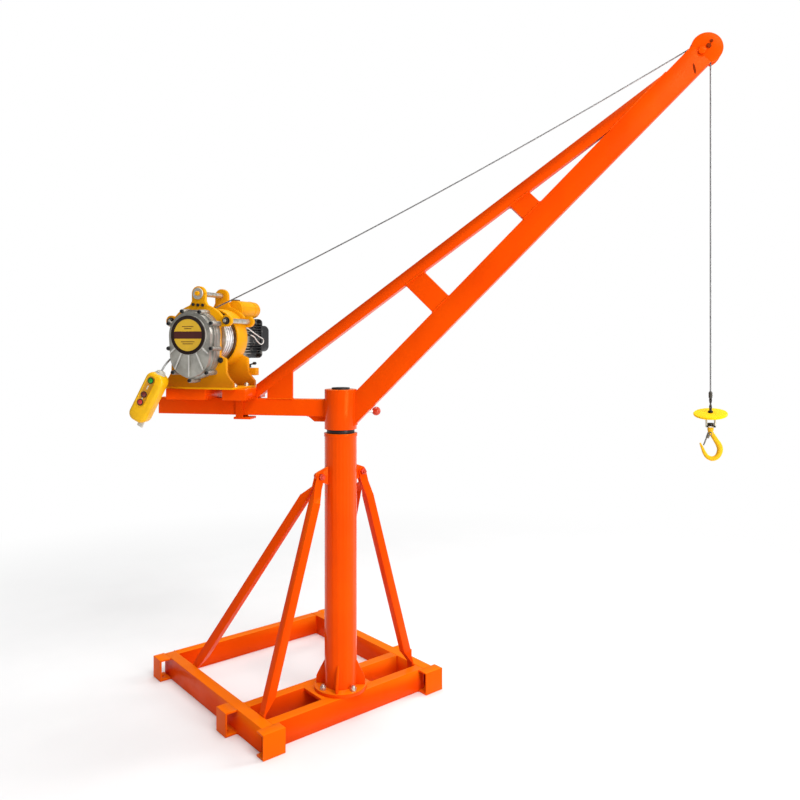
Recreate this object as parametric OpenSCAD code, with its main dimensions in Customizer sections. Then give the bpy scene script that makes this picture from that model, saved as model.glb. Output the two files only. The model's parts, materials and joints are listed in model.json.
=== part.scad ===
// Mini roof crane with an electric rope winch, in millimetres.
// Origin: mast axis on the floor. +X runs along the front beam, +Y from the front beam to the back beam, +Z up.
// The boom is drawn in its own frame: x towards the boom tip, y away from the gear cover of the winch.

/* [Base frame] */
// Width of the base over its side rails
base_w = 724; // [640:1:800]
// Length of the side rails
base_l = 754; // [680:1:840]
// Distance from the mast axis to the front ends of the side rails
base_front = 78; // [70:1:100]
// Height of the frame tube
tube_h = 80; // [60:1:100]
// Width of the frame tube
tube_w = 40; // [34:1:46]
// Wall of the frame tube
tube_wall = 4; // [2:0.5:6]
// Clear gap between the front beam and the middle beam
seat_gap = 112; // [100:1:130]
// Width of the mast seat plate
seat_w = 212; // [200:1:240]
// Thickness of the mast seat plate
seat_t = 10; // [6:1:14]

/* [Feet] */
// Depth of the foot channel over its flanges
foot_d = 43; // [34:1:52]
// Thickness of the foot channel
foot_t = 6; // [4:0.5:8]
// Length of the four side feet
foot_l = 66; // [50:1:90]
// Length of the two front feet
front_foot_l = 80; // [60:1:100]
// Overhang of the front feet past the rails
front_foot_out = 18; // [8:1:26]
// Overhang of the back feet past the rail ends
back_foot_out = 6; // [0:1:12]
// Distance from the mast axis to the front end of the middle feet
mid_foot_y = 82; // [70:1:120]
// Radius of the anchor holes in the feet
anchor_r = 6; // [4:0.5:8]

/* [Mast] */
// Outer diameter of the mast pipe
mast_d = 114; // [102:1:120]
// Wall of the mast pipe
mast_wall = 5; // [3:0.5:8]
// Height of the mast pipe's top above the floor
mast_top = 968; // [900:1:1050]
// Diameter of the mast flange
flange_d = 186; // [176:1:196]
// Thickness of the mast flange
flange_t = 12; // [8:1:16]
// Height of the mast gussets
gusset_h = 84; // [60:1:110]
// Thickness of the gussets
gusset_t = 8; // [5:1:12]
// Pitch circle of the flange bolts
flange_pcd = 150; // [144:1:156]
// Diameter of the flange bolts
flange_bolt_d = 12; // [10:1:14]
// Diameter of the slew spindle
spindle_d = 64; // [56:1:72]
// Thickness of the ring on the mast top
ring_t = 11; // [8:1:16]
// Thickness of the thrust washer under the collar
washer_t = 14; // [8:1:18]

/* [Struts] */
// Height of the strut bolts on the mast
lug_z = 834; // [760:1:880]
// Distance of the strut bolts from the mast axis
lug_x = 90; // [86:1:100]
// Thickness of the strut lugs
lug_t = 8; // [6:1:12]
// Width of the strut bar
strut_w = 30; // [24:1:34]
// Height of the lower strut bolts
strut_foot_z = 46; // [36:1:54]
// Distance of the front lower bolts behind the mast axis
strut_front_y = -8; // [-14:1:10]
// Distance of the back lower bolts behind the mast axis
strut_back_y = 514; // [440:1:560]
// Diameter of the strut bolts
strut_bolt_d = 12; // [10:1:14]

/* [Boom] */
// Angle of the boom to the base at rest
slew_angle = -51; // [-180:1:180]
// Length of the slew collar
collar_l = 140; // [120:1:170]
// Angle of the lower chord above the horizontal
boom_angle = 45.3; // [43:0.1:48]
// Height of the lower chord's root above the collar's lower end
chord_root = 75; // [70:1:82]
// Length of the lower chord from the mast axis plane of the collar's skin
chord_l = 1633; // [1572:1:1692]
// Height of the lower chord
chord_h = 80; // [70:1:90]
// Width of the chords and of the back arm
chord_w = 40; // [36:1:50]
// Wall of the chords and of the back arm
chord_wall = 3; // [2:0.5:5]
// Height of the upper chord
upper_h = 40; // [34:1:46]
// Angle of the upper chord above the horizontal
upper_angle = 36.2; // [35.5:0.1:37]
// Reach of the upper chord's lower end behind the mast axis
upper_back = 309; // [300:1:318]
// Rise of the upper chord's top edge over the arm at its lower end
upper_rise = 50; // [46:1:60]
// Length of the back arm behind the mast axis
arm_l = 690; // [650:1:740]
// Height of the back arm tube
arm_h = 60; // [50:1:70]
// Height of the arm's top above the collar's lower end
arm_top = 104; // [96:1:112]
// Distance along the lower chord to the lower web
web_1 = 470; // [420:1:520]
// Distance along the lower chord to the upper web
web_2 = 908; // [860:1:960]
// Width of the webs
web_w = 78; // [60:1:90]
// Thickness of the welded gusset plates
plate_t = 10; // [6:1:14]

/* [Boom head] */
// Radius of the rope's centre line on the sheave
sheave_r = 30; // [26:1:34]
// Height of the sheave's rim over the rope's centre line
sheave_rim = 6; // [4:1:8]
// Width of the sheave
sheave_w = 20; // [16:1:24]
// Distance of the sheave's axis past the end of the lower chord
sheave_out = 7; // [4:1:12]
// Height of the sheave's centre over the lower chord's axis
sheave_rise = 5; // [3:1:7]
// Diameter of the sheave pin
sheave_pin_d = 16; // [12:1:20]
// Radius of the head's cheek plates
cheek_r = 50; // [46:1:58]
// Thickness of the cheek plates
cheek_t = 6; // [4:1:8]

/* [Winch] */
// Distance of the winch axis behind the mast axis
winch_x = 468; // [460:1:520]
// Turn of the winch about the vertical, off square to the boom
winch_turn = -6; // [-8:1:8]
// Height of the winch axis over its base plate
winch_h = 172; // [160:1:190]
// Height of the winch platform over the arm
platform_h = 38; // [30:1:46]
// Width of the back platform channel
channel_back_w = 150; // [120:1:170]
// Width of the front platform channel
channel_front_w = 86; // [70:1:100]
// Clear gap between the platform channels
channel_gap = 62; // [40:1:80]
// Depth of the platform channels across the boom
platform_d = 190; // [170:1:240]
// Thickness of the winch base plate
plate_z = 7; // [5:1:10]
// Radius of the rope winding
winding_r = 87; // [80:1:94]
// Radius of the drum's flanges
drum_r = 96; // [92:1:97]
// Length of the drum over its flanges
drum_l = 126; // [110:1:150]
// Distance of the drum's near flange in front of the boom plane
drum_y = 104; // [90:1:112]
// Radius of the gear cover's upper lobe
cover_r = 88; // [82:1:92]
// Drop of the gear cover's lower lobe
cover_drop = 58; // [50:1:62]
// Radius of the gear cover's lower lobe
cover_low_r = 84; // [78:1:88]
// Depth of the gear cover
cover_d = 40; // [36:1:60]
// Height of the cover's upper lobe and label over the winch axis
cover_rise = 10; // [4:1:14]
// Radius of the round label seat on the cover
label_r = 68; // [60:1:72]
// Depth of the gear housing behind the cover
housing_d = 25; // [20:1:34]
// Thickness of the winch brackets
bracket_t = 14; // [10:1:18]
// Sideways distance of the side tie rods from the winch axis
ear_x = 110; // [106:1:116]
// Height of the side tie rods over the winch axis
ear_z = 60; // [56:1:70]
// Height of the top tie rod over the winch axis
lug_top = 156; // [146:1:160]
// Diameter of the tie rods
tie_d = 12; // [10:1:14]
// Radius of the arched top of the winch brackets
arch_r = 120; // [114:1:124]
// Half width of the winch feet
foot_x = 135; // [126:1:144]
// Length of the round guard on the rear bracket
guard_l = 72; // [50:1:84]
// Radius of the motor's round flange
motor_r = 78; // [70:1:80]
// Length of the motor's finned body
motor_l = 176; // [150:1:190]
// Number of cooling fins on each side of the motor
fins = 12; // [8:1:14]
// Depth of the motor's end cap
cap_l = 98; // [70:1:110]

/* [Rope and hook] */
// Diameter of the rope
rope_d = 5; // [4:0.5:6]
// Sag of the rope between drum and sheave
rope_sag = 24; // [16:1:36]
// Height of the rope end over the floor
rope_end_z = 1141; // [1080:1:1200]
// Length of the rope's ferrule
ferrule_l = 22; // [18:1:26]
// Length of the doubled rope under the ferrule
eye_h = 47; // [40:1:54]
// Diameter of the limiter disc
disc_d = 104; // [90:1:116]
// Thickness of the limiter disc
disc_t = 8; // [6:1:12]
// Tilt of the limiter disc on the rope
disc_tilt = 13; // [0:1:16]
// Height of the hook under its yoke
hook_h = 108; // [102:1:114]
// Thickness of the hook at its neck
hook_t = 16; // [14:1:17]
// Diameter of the hook's shank in the yoke
shank_d = 12; // [10:1:14]
// Width of the hook's yoke
yoke_w = 30; // [28:1:36]
// Height of the hook's yoke
yoke_h = 39; // [34:1:44]
// Thickness of the yoke's bars
yoke_t = 4; // [3:1:5]
// Turn of the hook about the rope at rest
hook_turn = -4; // [-10:1:10]

/* [Pendant] */
// Length of the pendant control
pendant_l = 184; // [150:1:190]
// Width of the pendant control
pendant_w = 70; // [56:1:76]
// Depth of the pendant control
pendant_d = 52; // [42:1:58]
// Tilt of the pendant control
pendant_tilt = 28; // [20:1:36]

/* [Hidden] */
$fn = 48;

// Clearance of a running fit on the radius
run_fit = 0.05;
// Clearance between faces that slide on each other
slide_gap = 0.3;

orange = "orangered";
yellow = "gold";
zinc = "silver";
black = "dimgray";

rail_x = base_w / 2;
rail_in = rail_x - tube_w;
base_back = base_l - base_front;
front_in = tube_w - base_front;
middle_y = front_in + seat_gap;
flange_z = tube_h + flange_t;
ring_z = mast_top + ring_t;
collar_z = ring_z + washer_t + slide_gap;
collar_top = collar_z + collar_l;

chord_z = collar_z + chord_root;
arm_z = collar_z + arm_top;
platform_z = arm_z + platform_h;
winch_z = platform_z + plate_z + winch_h;
chord_end = [mast_d / 2 + chord_l * cos(boom_angle), chord_z + chord_l * sin(boom_angle)];
chord_dir = [cos(boom_angle), sin(boom_angle)];
sheave_c = chord_end + sheave_out * chord_dir + sheave_rise * [-chord_dir[1], chord_dir[0]];
cheek_c = chord_end + (sheave_out + 17) * chord_dir;
fall_x = sheave_c[0] + sheave_r;
upper_z = arm_z + upper_rise;

drum_y1 = drum_l - drum_y;
// Drum: flange thickness, core radius, shaft radius and gap to the brackets
flange_w = 5;
core_r = winding_r - 10;
core_wall = 5;
shaft_r = 15;
drum_gap = 8;
bracket_y = -drum_y - drum_gap;
housing_y = bracket_y - bracket_t;
cover_y = housing_y - housing_d;
rear_y = drum_y1 + drum_gap;
motor_y = rear_y + bracket_t;

eye_z = rope_end_z - ferrule_l;
disc_z = eye_z - eye_h - disc_t;
yoke_z = disc_z - yoke_h;
// Top of the hook's neck, under the yoke
neck_top = yoke_z - slide_gap;

// Moves children from the boom's frame to the frame of the base
module on_boom() {
    rotate([0, 0, slew_angle])
        children();
}

// Moves children to the winch axis, with z along the axis away from the gear cover
module on_winch(y) {
    in_winch()
        translate([0, y, 0])
            rotate([-90, 0, 0])
                children();
}

// Moves children to the winch's own upright frame, centred on its axis in the boom plane
module in_winch() {
    on_boom()
        translate([-winch_x, 0, winch_z])
            rotate([0, 0, winch_turn])
                children();
}

// Draws a plate outline given in the boom's plane, across width w about y0
module in_plane(w, y0 = 0) {
    on_boom()
        translate([0, y0 + w / 2, 0])
            rotate([90, 0, 0])
                linear_extrude(w)
                    children();
}

// Rectangular tube along +X
module box_tube(l, w, h, wall) {
    rotate([90, 0, 90])
        linear_extrude(l)
            difference() {
                square([w, h], center = true);
                square([w - 2 * wall, h - 2 * wall], center = true);
            }
}

module rail(side) {
    color(orange)
        translate([side * (rail_x - tube_w / 2), -base_front, tube_h / 2])
            rotate([0, 0, 90])
                box_tube(base_l, tube_w, tube_h, tube_wall);
}

module cross_beam(y) {
    color(orange)
        translate([-rail_in, y + tube_w / 2, tube_h / 2])
            box_tube(2 * rail_in, tube_w, tube_h, tube_wall);
}

// Channel offcut with its web at x = 0, flanges towards +x, length along y
module foot_channel(l) {
    difference() {
        cube([foot_d, l, tube_h]);
        translate([foot_t, -1, foot_t])
            cube([foot_d, l + 2, tube_h - 2 * foot_t]);
        translate([foot_d / 2, l / 2, -1])
            cylinder(h = foot_t + 2, r = anchor_r);
    }
}

module base_feet() {
    back_y = base_back + back_foot_out - foot_l;
    color(orange)
        for (side = [0, 1])
            mirror([side, 0, 0]) {
                for (y = [mid_foot_y, back_y])
                    translate([-rail_x - foot_d, y, 0])
                        foot_channel(foot_l);
                translate([-rail_x - front_foot_out, -base_front - foot_d, 0])
                    translate([front_foot_l, 0, 0])
                        rotate([0, 0, 90])
                            foot_channel(front_foot_l);
            }
}

module mast_seat() {
    color(orange)
        translate([-seat_w / 2, front_in, tube_h - seat_t])
            cube([seat_w, seat_gap, seat_t]);
}

// Welded mast: pipe, flange, four gussets and two strut lugs
module mast() {
    pipe_r = mast_d / 2;
    gusset_out = flange_d / 2 - 6;
    lug_h = 62;
    color(orange)
        difference() {
            union() {
                translate([0, 0, tube_h])
                    cylinder(h = flange_t, d = flange_d, $fn = 96);
                translate([0, 0, flange_z])
                    cylinder(h = mast_top - flange_z, r = pipe_r, $fn = 96);
                translate([0, 0, mast_top])
                    cylinder(h = ring_t, d = mast_d + 4, $fn = 96);
                for (a = [45 : 90 : 315])
                    rotate([90, 0, a])
                        translate([0, 0, -gusset_t / 2])
                            linear_extrude(gusset_t)
                                polygon([
                                    [pipe_r - mast_wall, flange_z],
                                    [gusset_out, flange_z],
                                    [gusset_out, flange_z + 0.3 * gusset_h],
                                    [gusset_out - 6, flange_z + 0.45 * gusset_h],
                                    [pipe_r, flange_z + gusset_h],
                                    [pipe_r - mast_wall, flange_z + gusset_h]
                                ]);
                for (side = [-1, 1])
                    translate([side * lug_x, lug_t / 2, lug_z])
                        rotate([90, 0, 0])
                            linear_extrude(lug_t)
                                mirror([side < 0 ? 1 : 0, 0])
                                    hull() {
                                        circle(d = strut_w + 6);
                                        translate([-lug_x + pipe_r - mast_wall / 2, -lug_h / 2])
                                            square([mast_wall / 2, lug_h]);
                                    }
            }
            translate([0, 0, tube_h - 1])
                cylinder(h = mast_top - tube_h + 1, d = mast_d - 2 * mast_wall, $fn = 96);
            for (side = [-1, 1])
                translate([side * lug_x, lug_t, lug_z])
                    rotate([90, 0, 0])
                        cylinder(h = 2 * lug_t, d = strut_bolt_d + 2 * run_fit);
        }
}

// Spindle and thrust washer on the mast's top ring
module mast_head() {
    color(black) {
        translate([0, 0, ring_z])
            cylinder(h = washer_t, d = mast_d - 16, $fn = 96);
        translate([0, 0, ring_z])
            cylinder(h = collar_top + 6 - ring_z, d = spindle_d, $fn = 96);
    }
}

// Hexagon nut on a short stud end, along +Z
module nut(d) {
    cylinder(h = 0.8 * d, d = 1.9 * d, $fn = 6);
    cylinder(h = 1.4 * d, d = d);
}

module mast_bolts() {
    strut_pack = lug_t + 2 * tab_t;
    color(zinc) {
        for (a = [0 : 90 : 270])
            rotate([0, 0, a])
                translate([flange_pcd / 2, 0, flange_z])
                    nut(flange_bolt_d);
        for (side = [-1, 1]) {
            translate([side * lug_x, 0, lug_z])
                rotate([90, 0, 0]) {
                    translate([0, 0, -strut_pack / 2])
                        cylinder(h = strut_pack, d = strut_bolt_d);
                    for (end = [0, 1])
                        mirror([0, 0, end])
                            translate([0, 0, strut_pack / 2])
                                nut(strut_bolt_d);
                }
            for (y = [strut_front_y, strut_back_y])
                translate([side * (rail_in - tab_t), y, strut_foot_z])
                    rotate([0, -side * 90, 0])
                        nut(strut_bolt_d);
        }
    }
}

// Thickness of the flattened strut ends
tab_t = 6;

// Brace from the lug on one side (-1 left, 1 right) to the rail, on the front (-1) or back (1) face of the lug.
// Its square bar runs out into a flattened end at each bolt.
module strut(side, face) {
    tab_l = 40;
    flat_l = 90;
    loft_w = strut_w - 1;
    loft_t = tab_t - 1;
    top = [side * lug_x, face * (lug_t + tab_t) / 2, lug_z];
    bottom = [side * (rail_in - tab_t / 2), face < 0 ? strut_front_y : strut_back_y, strut_foot_z];
    run = bottom - top;
    l = norm(run);
    along = [0, acos(run[2] / l), atan2(run[1], run[0])];
    top_turn = [0, atan2(run[0], run[2]) - 180, 0];
    bottom_turn = [atan2(run[1], -run[2]), 0, 0];
    color(orange)
        difference() {
            union() {
                translate(top)
                    rotate(along)
                        translate([-strut_w / 2, -strut_w / 2, flat_l])
                            cube([strut_w, strut_w, l - 2 * flat_l]);
                translate(top)
                    rotate(top_turn)
                        tab(tab_l, [strut_w, tab_t, tab_l], [90, 0, 0]);
                translate(bottom)
                    rotate(bottom_turn)
                        mirror([0, 0, 1])
                            tab(tab_l, [tab_t, strut_w, tab_l], [0, 90, 0]);
                hull() {
                    translate(top)
                        rotate(top_turn)
                            translate([0, 0, 2 - tab_l])
                                cube([loft_w, loft_t, 1], center = true);
                    translate(top)
                        rotate(along)
                            translate([0, 0, flat_l + 2])
                                cube([loft_w, loft_w, 1], center = true);
                }
                hull() {
                    translate(bottom)
                        rotate(bottom_turn)
                            translate([0, 0, tab_l - 2])
                                cube([loft_t, loft_w, 1], center = true);
                    translate(top)
                        rotate(along)
                            translate([0, 0, l - flat_l - 2])
                                cube([loft_w, loft_w, 1], center = true);
                }
            }
            translate(top)
                rotate([90, 0, 0])
                    cylinder(h = 2 * tab_t, d = strut_bolt_d + 2 * run_fit, center = true);
            translate(bottom)
                rotate([0, 90, 0])
                    cylinder(h = 2 * tab_t, d = strut_bolt_d + 2 * run_fit, center = true);
        }
}

module struts(face) {
    for (side = [-1, 1])
        strut(side, face);
}

// Flattened strut end hanging down from its bolt
module tab(l, size, bolt_turn) {
    rotate(bolt_turn)
        cylinder(h = tab_t, d = strut_w, center = true);
    translate([-size[0] / 2, -size[1] / 2, -l])
        cube(size);
}

// Slew collar: pipe with a bush plate at each end, running on the spindle
module slew_collar() {
    bush_t = 12;
    color(orange)
        translate([0, 0, collar_z])
            rotate_extrude($fn = 96)
                polygon([
                    [spindle_d / 2 + run_fit, 0],
                    [mast_d / 2, 0],
                    [mast_d / 2, collar_l],
                    [spindle_d / 2 + run_fit, collar_l],
                    [spindle_d / 2 + run_fit, collar_l - bush_t],
                    [mast_d / 2 - mast_wall, collar_l - bush_t],
                    [mast_d / 2 - mast_wall, bush_t],
                    [spindle_d / 2 + run_fit, bush_t]
                ]);
}

// Cylinder on the mast axis that trims what is welded to the collar
module collar_cut() {
    translate([0, 0, collar_z - 50])
        cylinder(h = collar_l + 400, d = mast_d, $fn = 96);
}

// Outline of the lower chord in the boom's plane
module chord_outline(h, back) {
    translate([mast_d / 2, chord_z])
        rotate(boom_angle)
            translate([-back, -h / 2])
                square([chord_l + back, h]);
}

module lower_chord() {
    color(orange)
        difference() {
            in_plane(chord_w)
                chord_outline(chord_h, chord_h);
            in_plane(chord_w - 2 * chord_wall)
                chord_outline(chord_h - 2 * chord_wall, 2 * chord_h);
            collar_cut();
            trim_behind_axis();
            sheave_slot();
            sheave_bore(sheave_pin_d / 2 + run_fit);
        }
}

// Half space behind the mast axis
module trim_behind_axis() {
    on_boom()
        translate([-600, -300, collar_z - 200])
            cube([600, 600, 600]);
}

// Room for the sheave and for the rope that comes to it, in the chord's end walls
module sheave_slot() {
    slot_l = 120;
    slot_h = 16;
    in_plane(sheave_w + 4) {
        translate(sheave_c)
            circle(r = sheave_r + sheave_rim + 6);
        translate(run_to)
            rotate(rope_angle)
                translate([-slot_l, -slot_h / 2])
                    square([slot_l, slot_h]);
    }
}

// Outline of the upper chord, from its lower end to the lower chord's upper skin, short of the cheeks
module upper_outline(h, drop) {
    upper_l = 1800;
    difference() {
        translate([-upper_back, upper_z])
            rotate(upper_angle)
                translate([-60, -drop - h])
                    square([upper_l, h]);
        translate([mast_d / 2, chord_z])
            rotate(boom_angle)
                translate([-chord_l, -2 * chord_l + chord_h / 2])
                    square([3 * chord_l, 2 * chord_l]);
        translate(chord_end)
            rotate(boom_angle)
                translate([-slide_gap, -chord_l])
                    square([2 * chord_l, 2 * chord_l]);
        translate([-upper_back - 200, arm_z - 200])
            square([200, 400]);
        translate([-upper_back - 200, arm_z - 200])
            square([600, 200]);
    }
}

module upper_chord() {
    color(orange)
        difference() {
            in_plane(chord_w)
                upper_outline(upper_h, 0);
            in_plane(chord_w - 2 * chord_wall)
                upper_outline(upper_h - 2 * chord_wall, chord_wall);
        }
}

// Web across the two chords at distance s along the lower chord
module web_outline(s, w) {
    difference() {
        translate([mast_d / 2, chord_z])
            rotate(boom_angle)
                translate([s - w / 2, chord_h / 2])
                    square([w, 300]);
        translate([-upper_back, upper_z])
            rotate(upper_angle)
                translate([-100, -upper_h])
                    square([2000, 600]);
    }
}

module boom_webs() {
    color(orange)
        for (s = [web_1, web_2])
            difference() {
                in_plane(chord_w)
                    web_outline(s, web_w);
                in_plane(chord_w - 2 * chord_wall)
                    web_outline(s, web_w - 2 * chord_wall);
            }
}

module back_arm() {
    color(orange)
        difference() {
            on_boom()
                translate([-arm_l, 0, arm_z - arm_h / 2])
                    box_tube(arm_l, chord_w, arm_h, chord_wall);
            collar_cut();
        }
}

// Plate under the upper chord's lower end, flush with the near side, and the small plate between arm and collar
module boom_gussets() {
    gusset_x = 172;
    gusset_back = 267;
    small_l = 64;
    small_h = 20;
    color(orange) {
        in_plane(plate_t, -(chord_w - plate_t) / 2)
            difference() {
                translate([-gusset_back, arm_z])
                    square([gusset_back - gusset_x, upper_rise + upper_back * tan(upper_angle)]);
                translate([-upper_back, upper_z])
                    rotate(upper_angle)
                        translate([-100, -upper_h])
                            square([1000, 600]);
            }
        difference() {
            in_plane(plate_t)
                polygon([
                    [-mast_d / 2 - small_l, arm_z - arm_h],
                    [0, arm_z - arm_h],
                    [0, arm_z - arm_h - small_h],
                    [-mast_d / 2 - 0.6 * small_l, arm_z - arm_h - small_h]
                ]);
            collar_cut();
        }
    }
}

// Two D-shaped cheeks that carry the sheave pin past the chord's end
module head_cheeks() {
    color(orange)
        for (side = [-1, 1])
            difference() {
                in_plane(cheek_t, side * (chord_w - cheek_t) / 2)
                    difference() {
                        translate(cheek_c)
                            circle(r = cheek_r, $fn = 96);
                        translate(chord_end)
                            rotate(boom_angle)
                                translate([-200, -200])
                                    square([200, 400]);
                    }
                sheave_bore(sheave_pin_d / 2 + run_fit);
            }
}

module sheave_bore(r) {
    on_boom()
        translate([sheave_c[0], 0, sheave_c[1]])
            rotate([90, 0, 0])
                cylinder(h = 200, r = r, center = true);
}

module sheave_pin() {
    head_t = 7;
    color(zinc)
        on_boom()
            translate([sheave_c[0], 0, sheave_c[1]])
                rotate([90, 0, 0]) {
                    cylinder(h = chord_w, d = sheave_pin_d, center = true);
                    for (end = [0, 1])
                        mirror([0, 0, end])
                            translate([0, 0, chord_w / 2])
                                cylinder(h = head_t, d = 1.6 * sheave_pin_d, $fn = 6);
                }
}

module sheave() {
    groove_r = rope_d / 2 + 0.5;
    rim_r = sheave_r + sheave_rim;
    color(zinc)
        on_boom()
            translate([sheave_c[0], 0, sheave_c[1]])
                rotate([90, 0, 0])
                    rotate_extrude($fn = 96)
                        difference() {
                            translate([sheave_pin_d / 2 + run_fit, -sheave_w / 2])
                                square([rim_r - sheave_pin_d / 2 - run_fit, sheave_w]);
                            translate([sheave_r, 0])
                                circle(r = groove_r, $fn = 24);
                            polygon([
                                [sheave_r, -groove_r],
                                [rim_r + 1, -sheave_w / 2 + 3],
                                [rim_r + 1, sheave_w / 2 - 3],
                                [sheave_r, groove_r]
                            ]);
                        }
}

// Clamp screw of the slew lock with its ball knob
module slew_lock() {
    screw_l = 83;
    knob_d = 32;
    boss_d = 24;
    boss_l = 16;
    lock_z = collar_z + 56;
    lock_a = 41;
    color("firebrick")
        difference() {
            on_boom()
                rotate([0, 0, lock_a])
                    translate([mast_d / 2 - mast_wall, 0, lock_z])
                        rotate([0, 90, 0]) {
                            cylinder(h = boss_l + mast_wall, d = boss_d, $fn = 6);
                            cylinder(h = screw_l, d = 10);
                            translate([0, 0, screw_l + 8])
                                sphere(d = knob_d);
                        }
            collar_cut();
        }
}

// Two channels laid across the arm under the winch, and the clamp round the arm
module winch_platform() {
    front_x = -upper_back - 0.3;
    clamp_x = 392;
    clamp_w = 64;
    strap_w = 26;
    clamp_t = 8;
    clamp_gap = 7;
    front_w = channel_front_w;
    back_x = front_x - front_w - channel_gap - channel_back_w;
    clamp_z = arm_z - arm_h - clamp_gap - clamp_t;
    color(orange)
        on_boom() {
            for (c = [[front_x - front_w, front_w], [back_x, channel_back_w]])
                translate([c[0], -platform_front, arm_z])
                    difference() {
                        cube([c[1], platform_d, platform_h]);
                        translate([platform_t, platform_t, -1])
                            cube([c[1] - 2 * platform_t, platform_d - 2 * platform_t, platform_h - platform_t + 1]);
                    }
            for (side = [-1, 1])
                translate([-clamp_x + 8, side * (chord_w + clamp_t) / 2 - clamp_t / 2, clamp_z])
                    cube([strap_w, clamp_t, arm_z - clamp_z]);
            translate([-clamp_x, -chord_w / 2 - clamp_t, clamp_z])
                cube([clamp_w, chord_w + 2 * clamp_t, clamp_t]);
        }
}
// Distance of the platform's front edge before the boom plane and its wall
platform_front = 120;
platform_t = 5;

module winch_plate() {
    color(yellow)
        in_winch()
            translate([-foot_x, bracket_y - bracket_t, -winch_h - plate_z])
                cube([2 * foot_x, rear_y - bracket_y + 2 * bracket_t, plate_z]);
}

// Outline of a winch bracket about the winch axis: an arch with a lug and two ears, and a column with flared feet
module bracket_outline(bore) {
    ear_r = 20;
    lug_r = 26;
    neck_z = 106;
    column_x = 84;
    knee_x = 107;
    knee_z = 72;
    flare_z = 120;
    foot_z = 155;
    difference() {
        union() {
            intersection() {
                circle(r = arch_r, $fn = 96);
                translate([-arch_r, ear_z - ear_r])
                    square([2 * arch_r, arch_r]);
            }
            for (side = [-1, 1])
                translate([side * ear_x, ear_z])
                    circle(r = ear_r);
            translate([0, lug_top])
                circle(r = lug_r);
            polygon([
                [-lug_r, lug_top],
                [lug_r, lug_top],
                [lug_r, neck_z + 24],
                [lug_r + 6, neck_z + 12],
                [lug_r + 20, neck_z],
                [-lug_r - 20, neck_z],
                [-lug_r - 6, neck_z + 12],
                [-lug_r, neck_z + 24]
            ]);
            for (side = [0, 1])
                mirror([side, 0])
                    polygon([
                        [0, ear_z],
                        [column_x, ear_z],
                        [column_x, 10 - knee_z],
                        [knee_x, -knee_z],
                        [knee_x + 2, -flare_z],
                        [knee_x + 12, -0.5 * (flare_z + foot_z)],
                        [foot_x, -foot_z],
                        [foot_x, -winch_h],
                        [0, -winch_h]
                    ]);
        }
        circle(r = bore);
        for (p = tie_points)
            translate(p)
                circle(d = tie_d + 2 * run_fit);
    }
}
tie_points = [[0, lug_top], [-ear_x, ear_z], [ear_x, ear_z]];

module winch_bracket(y) {
    in_winch()
        translate([0, y + bracket_t, 0])
            rotate([90, 0, 0])
                linear_extrude(bracket_t)
                    bracket_outline(shaft_r + run_fit);
}

module front_bracket() {
    color(yellow)
        winch_bracket(bracket_y - bracket_t);
}

// Rear bracket with a round guard over the end of the drum
module rear_bracket() {
    guard_r = 108;
    guard_wall = 5;
    color(yellow) {
        winch_bracket(rear_y);
        on_winch(rear_y - guard_l)
            difference() {
                cylinder(h = guard_l, r = guard_r, $fn = 96);
                translate([0, 0, -1])
                    cylinder(h = guard_l + 2, r = guard_r - guard_wall, $fn = 96);
            }
    }
}

module tie_rods() {
    rod_out = 12;
    rod_l = rear_y - bracket_y + 2 * bracket_t + 2 * rod_out;
    spacer_d = 1.5 * tie_d;
    color(zinc)
        for (p = tie_points)
            in_winch() {
                translate([p[0], bracket_y - bracket_t - rod_out, p[1]])
                    rotate([-90, 0, 0])
                        cylinder(h = rod_l, d = tie_d);
                translate([p[0], bracket_y, p[1]])
                    rotate([-90, 0, 0])
                        cylinder(h = rear_y - bracket_y, d = spacer_d);
            }
}

// Outline of the gear case, two round lobes about the winch axis
module case_outline(grow) {
    hull() {
        translate([0, cover_rise])
            circle(r = cover_r + grow, $fn = 64);
        translate([0, -cover_drop])
            circle(r = cover_low_r + grow, $fn = 64);
    }
}

// Screw bosses round the gear case, and its outline with them
boss_r = 9;
boss_p = [[-30, 92], [38, 89], [83, 50], [83, -36], [66, -119], [0, -146], [-66, -119], [-83, -36], [-83, 50]];
module case_bosses(r) {
    for (p = boss_p)
        translate(p)
            circle(r = r, $fn = 24);
}

module gear_housing() {
    color(zinc)
        in_winch()
            translate([0, housing_y, 0])
                rotate([90, 0, 0])
                    linear_extrude(housing_d) {
                        case_outline(0);
                        case_bosses(boss_r);
                    }
}

// Gear cover with a rim, screw bosses, a raised seat for the round label and ribs that fan out below it
module gear_cover() {
    rim_d = 12;
    face_d = cover_d - 9;
    rib_d = cover_d - 4;
    rib_t = 5;
    seat_w = 6;
    seat_d = 3;
    color(zinc)
        in_winch()
            translate([0, cover_y, 0])
                rotate([90, 0, 0])
                    difference() {
                        union() {
                            linear_extrude(rim_d) {
                                case_outline(-1);
                                case_bosses(boss_r - 0.5);
                            }
                            linear_extrude(face_d)
                                case_outline(-7);
                            linear_extrude(face_d - 2)
                                case_bosses(boss_r - 1);
                            linear_extrude(rib_d)
                                intersection() {
                                    case_outline(-10);
                                    translate([0, cover_rise])
                                        for (a = [-140, -115, -90, -65, -40])
                                            rotate(a)
                                                translate([0, -rib_t / 2])
                                                    square([2 * cover_r, rib_t]);
                                }
                            translate([0, cover_rise, 0])
                                cylinder(h = cover_d, r = label_r, $fn = 96);
                        }
                        translate([0, cover_rise, cover_d - seat_d])
                            cylinder(h = seat_d + 1, r = label_r - seat_w, $fn = 96);
                    }
}

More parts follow.
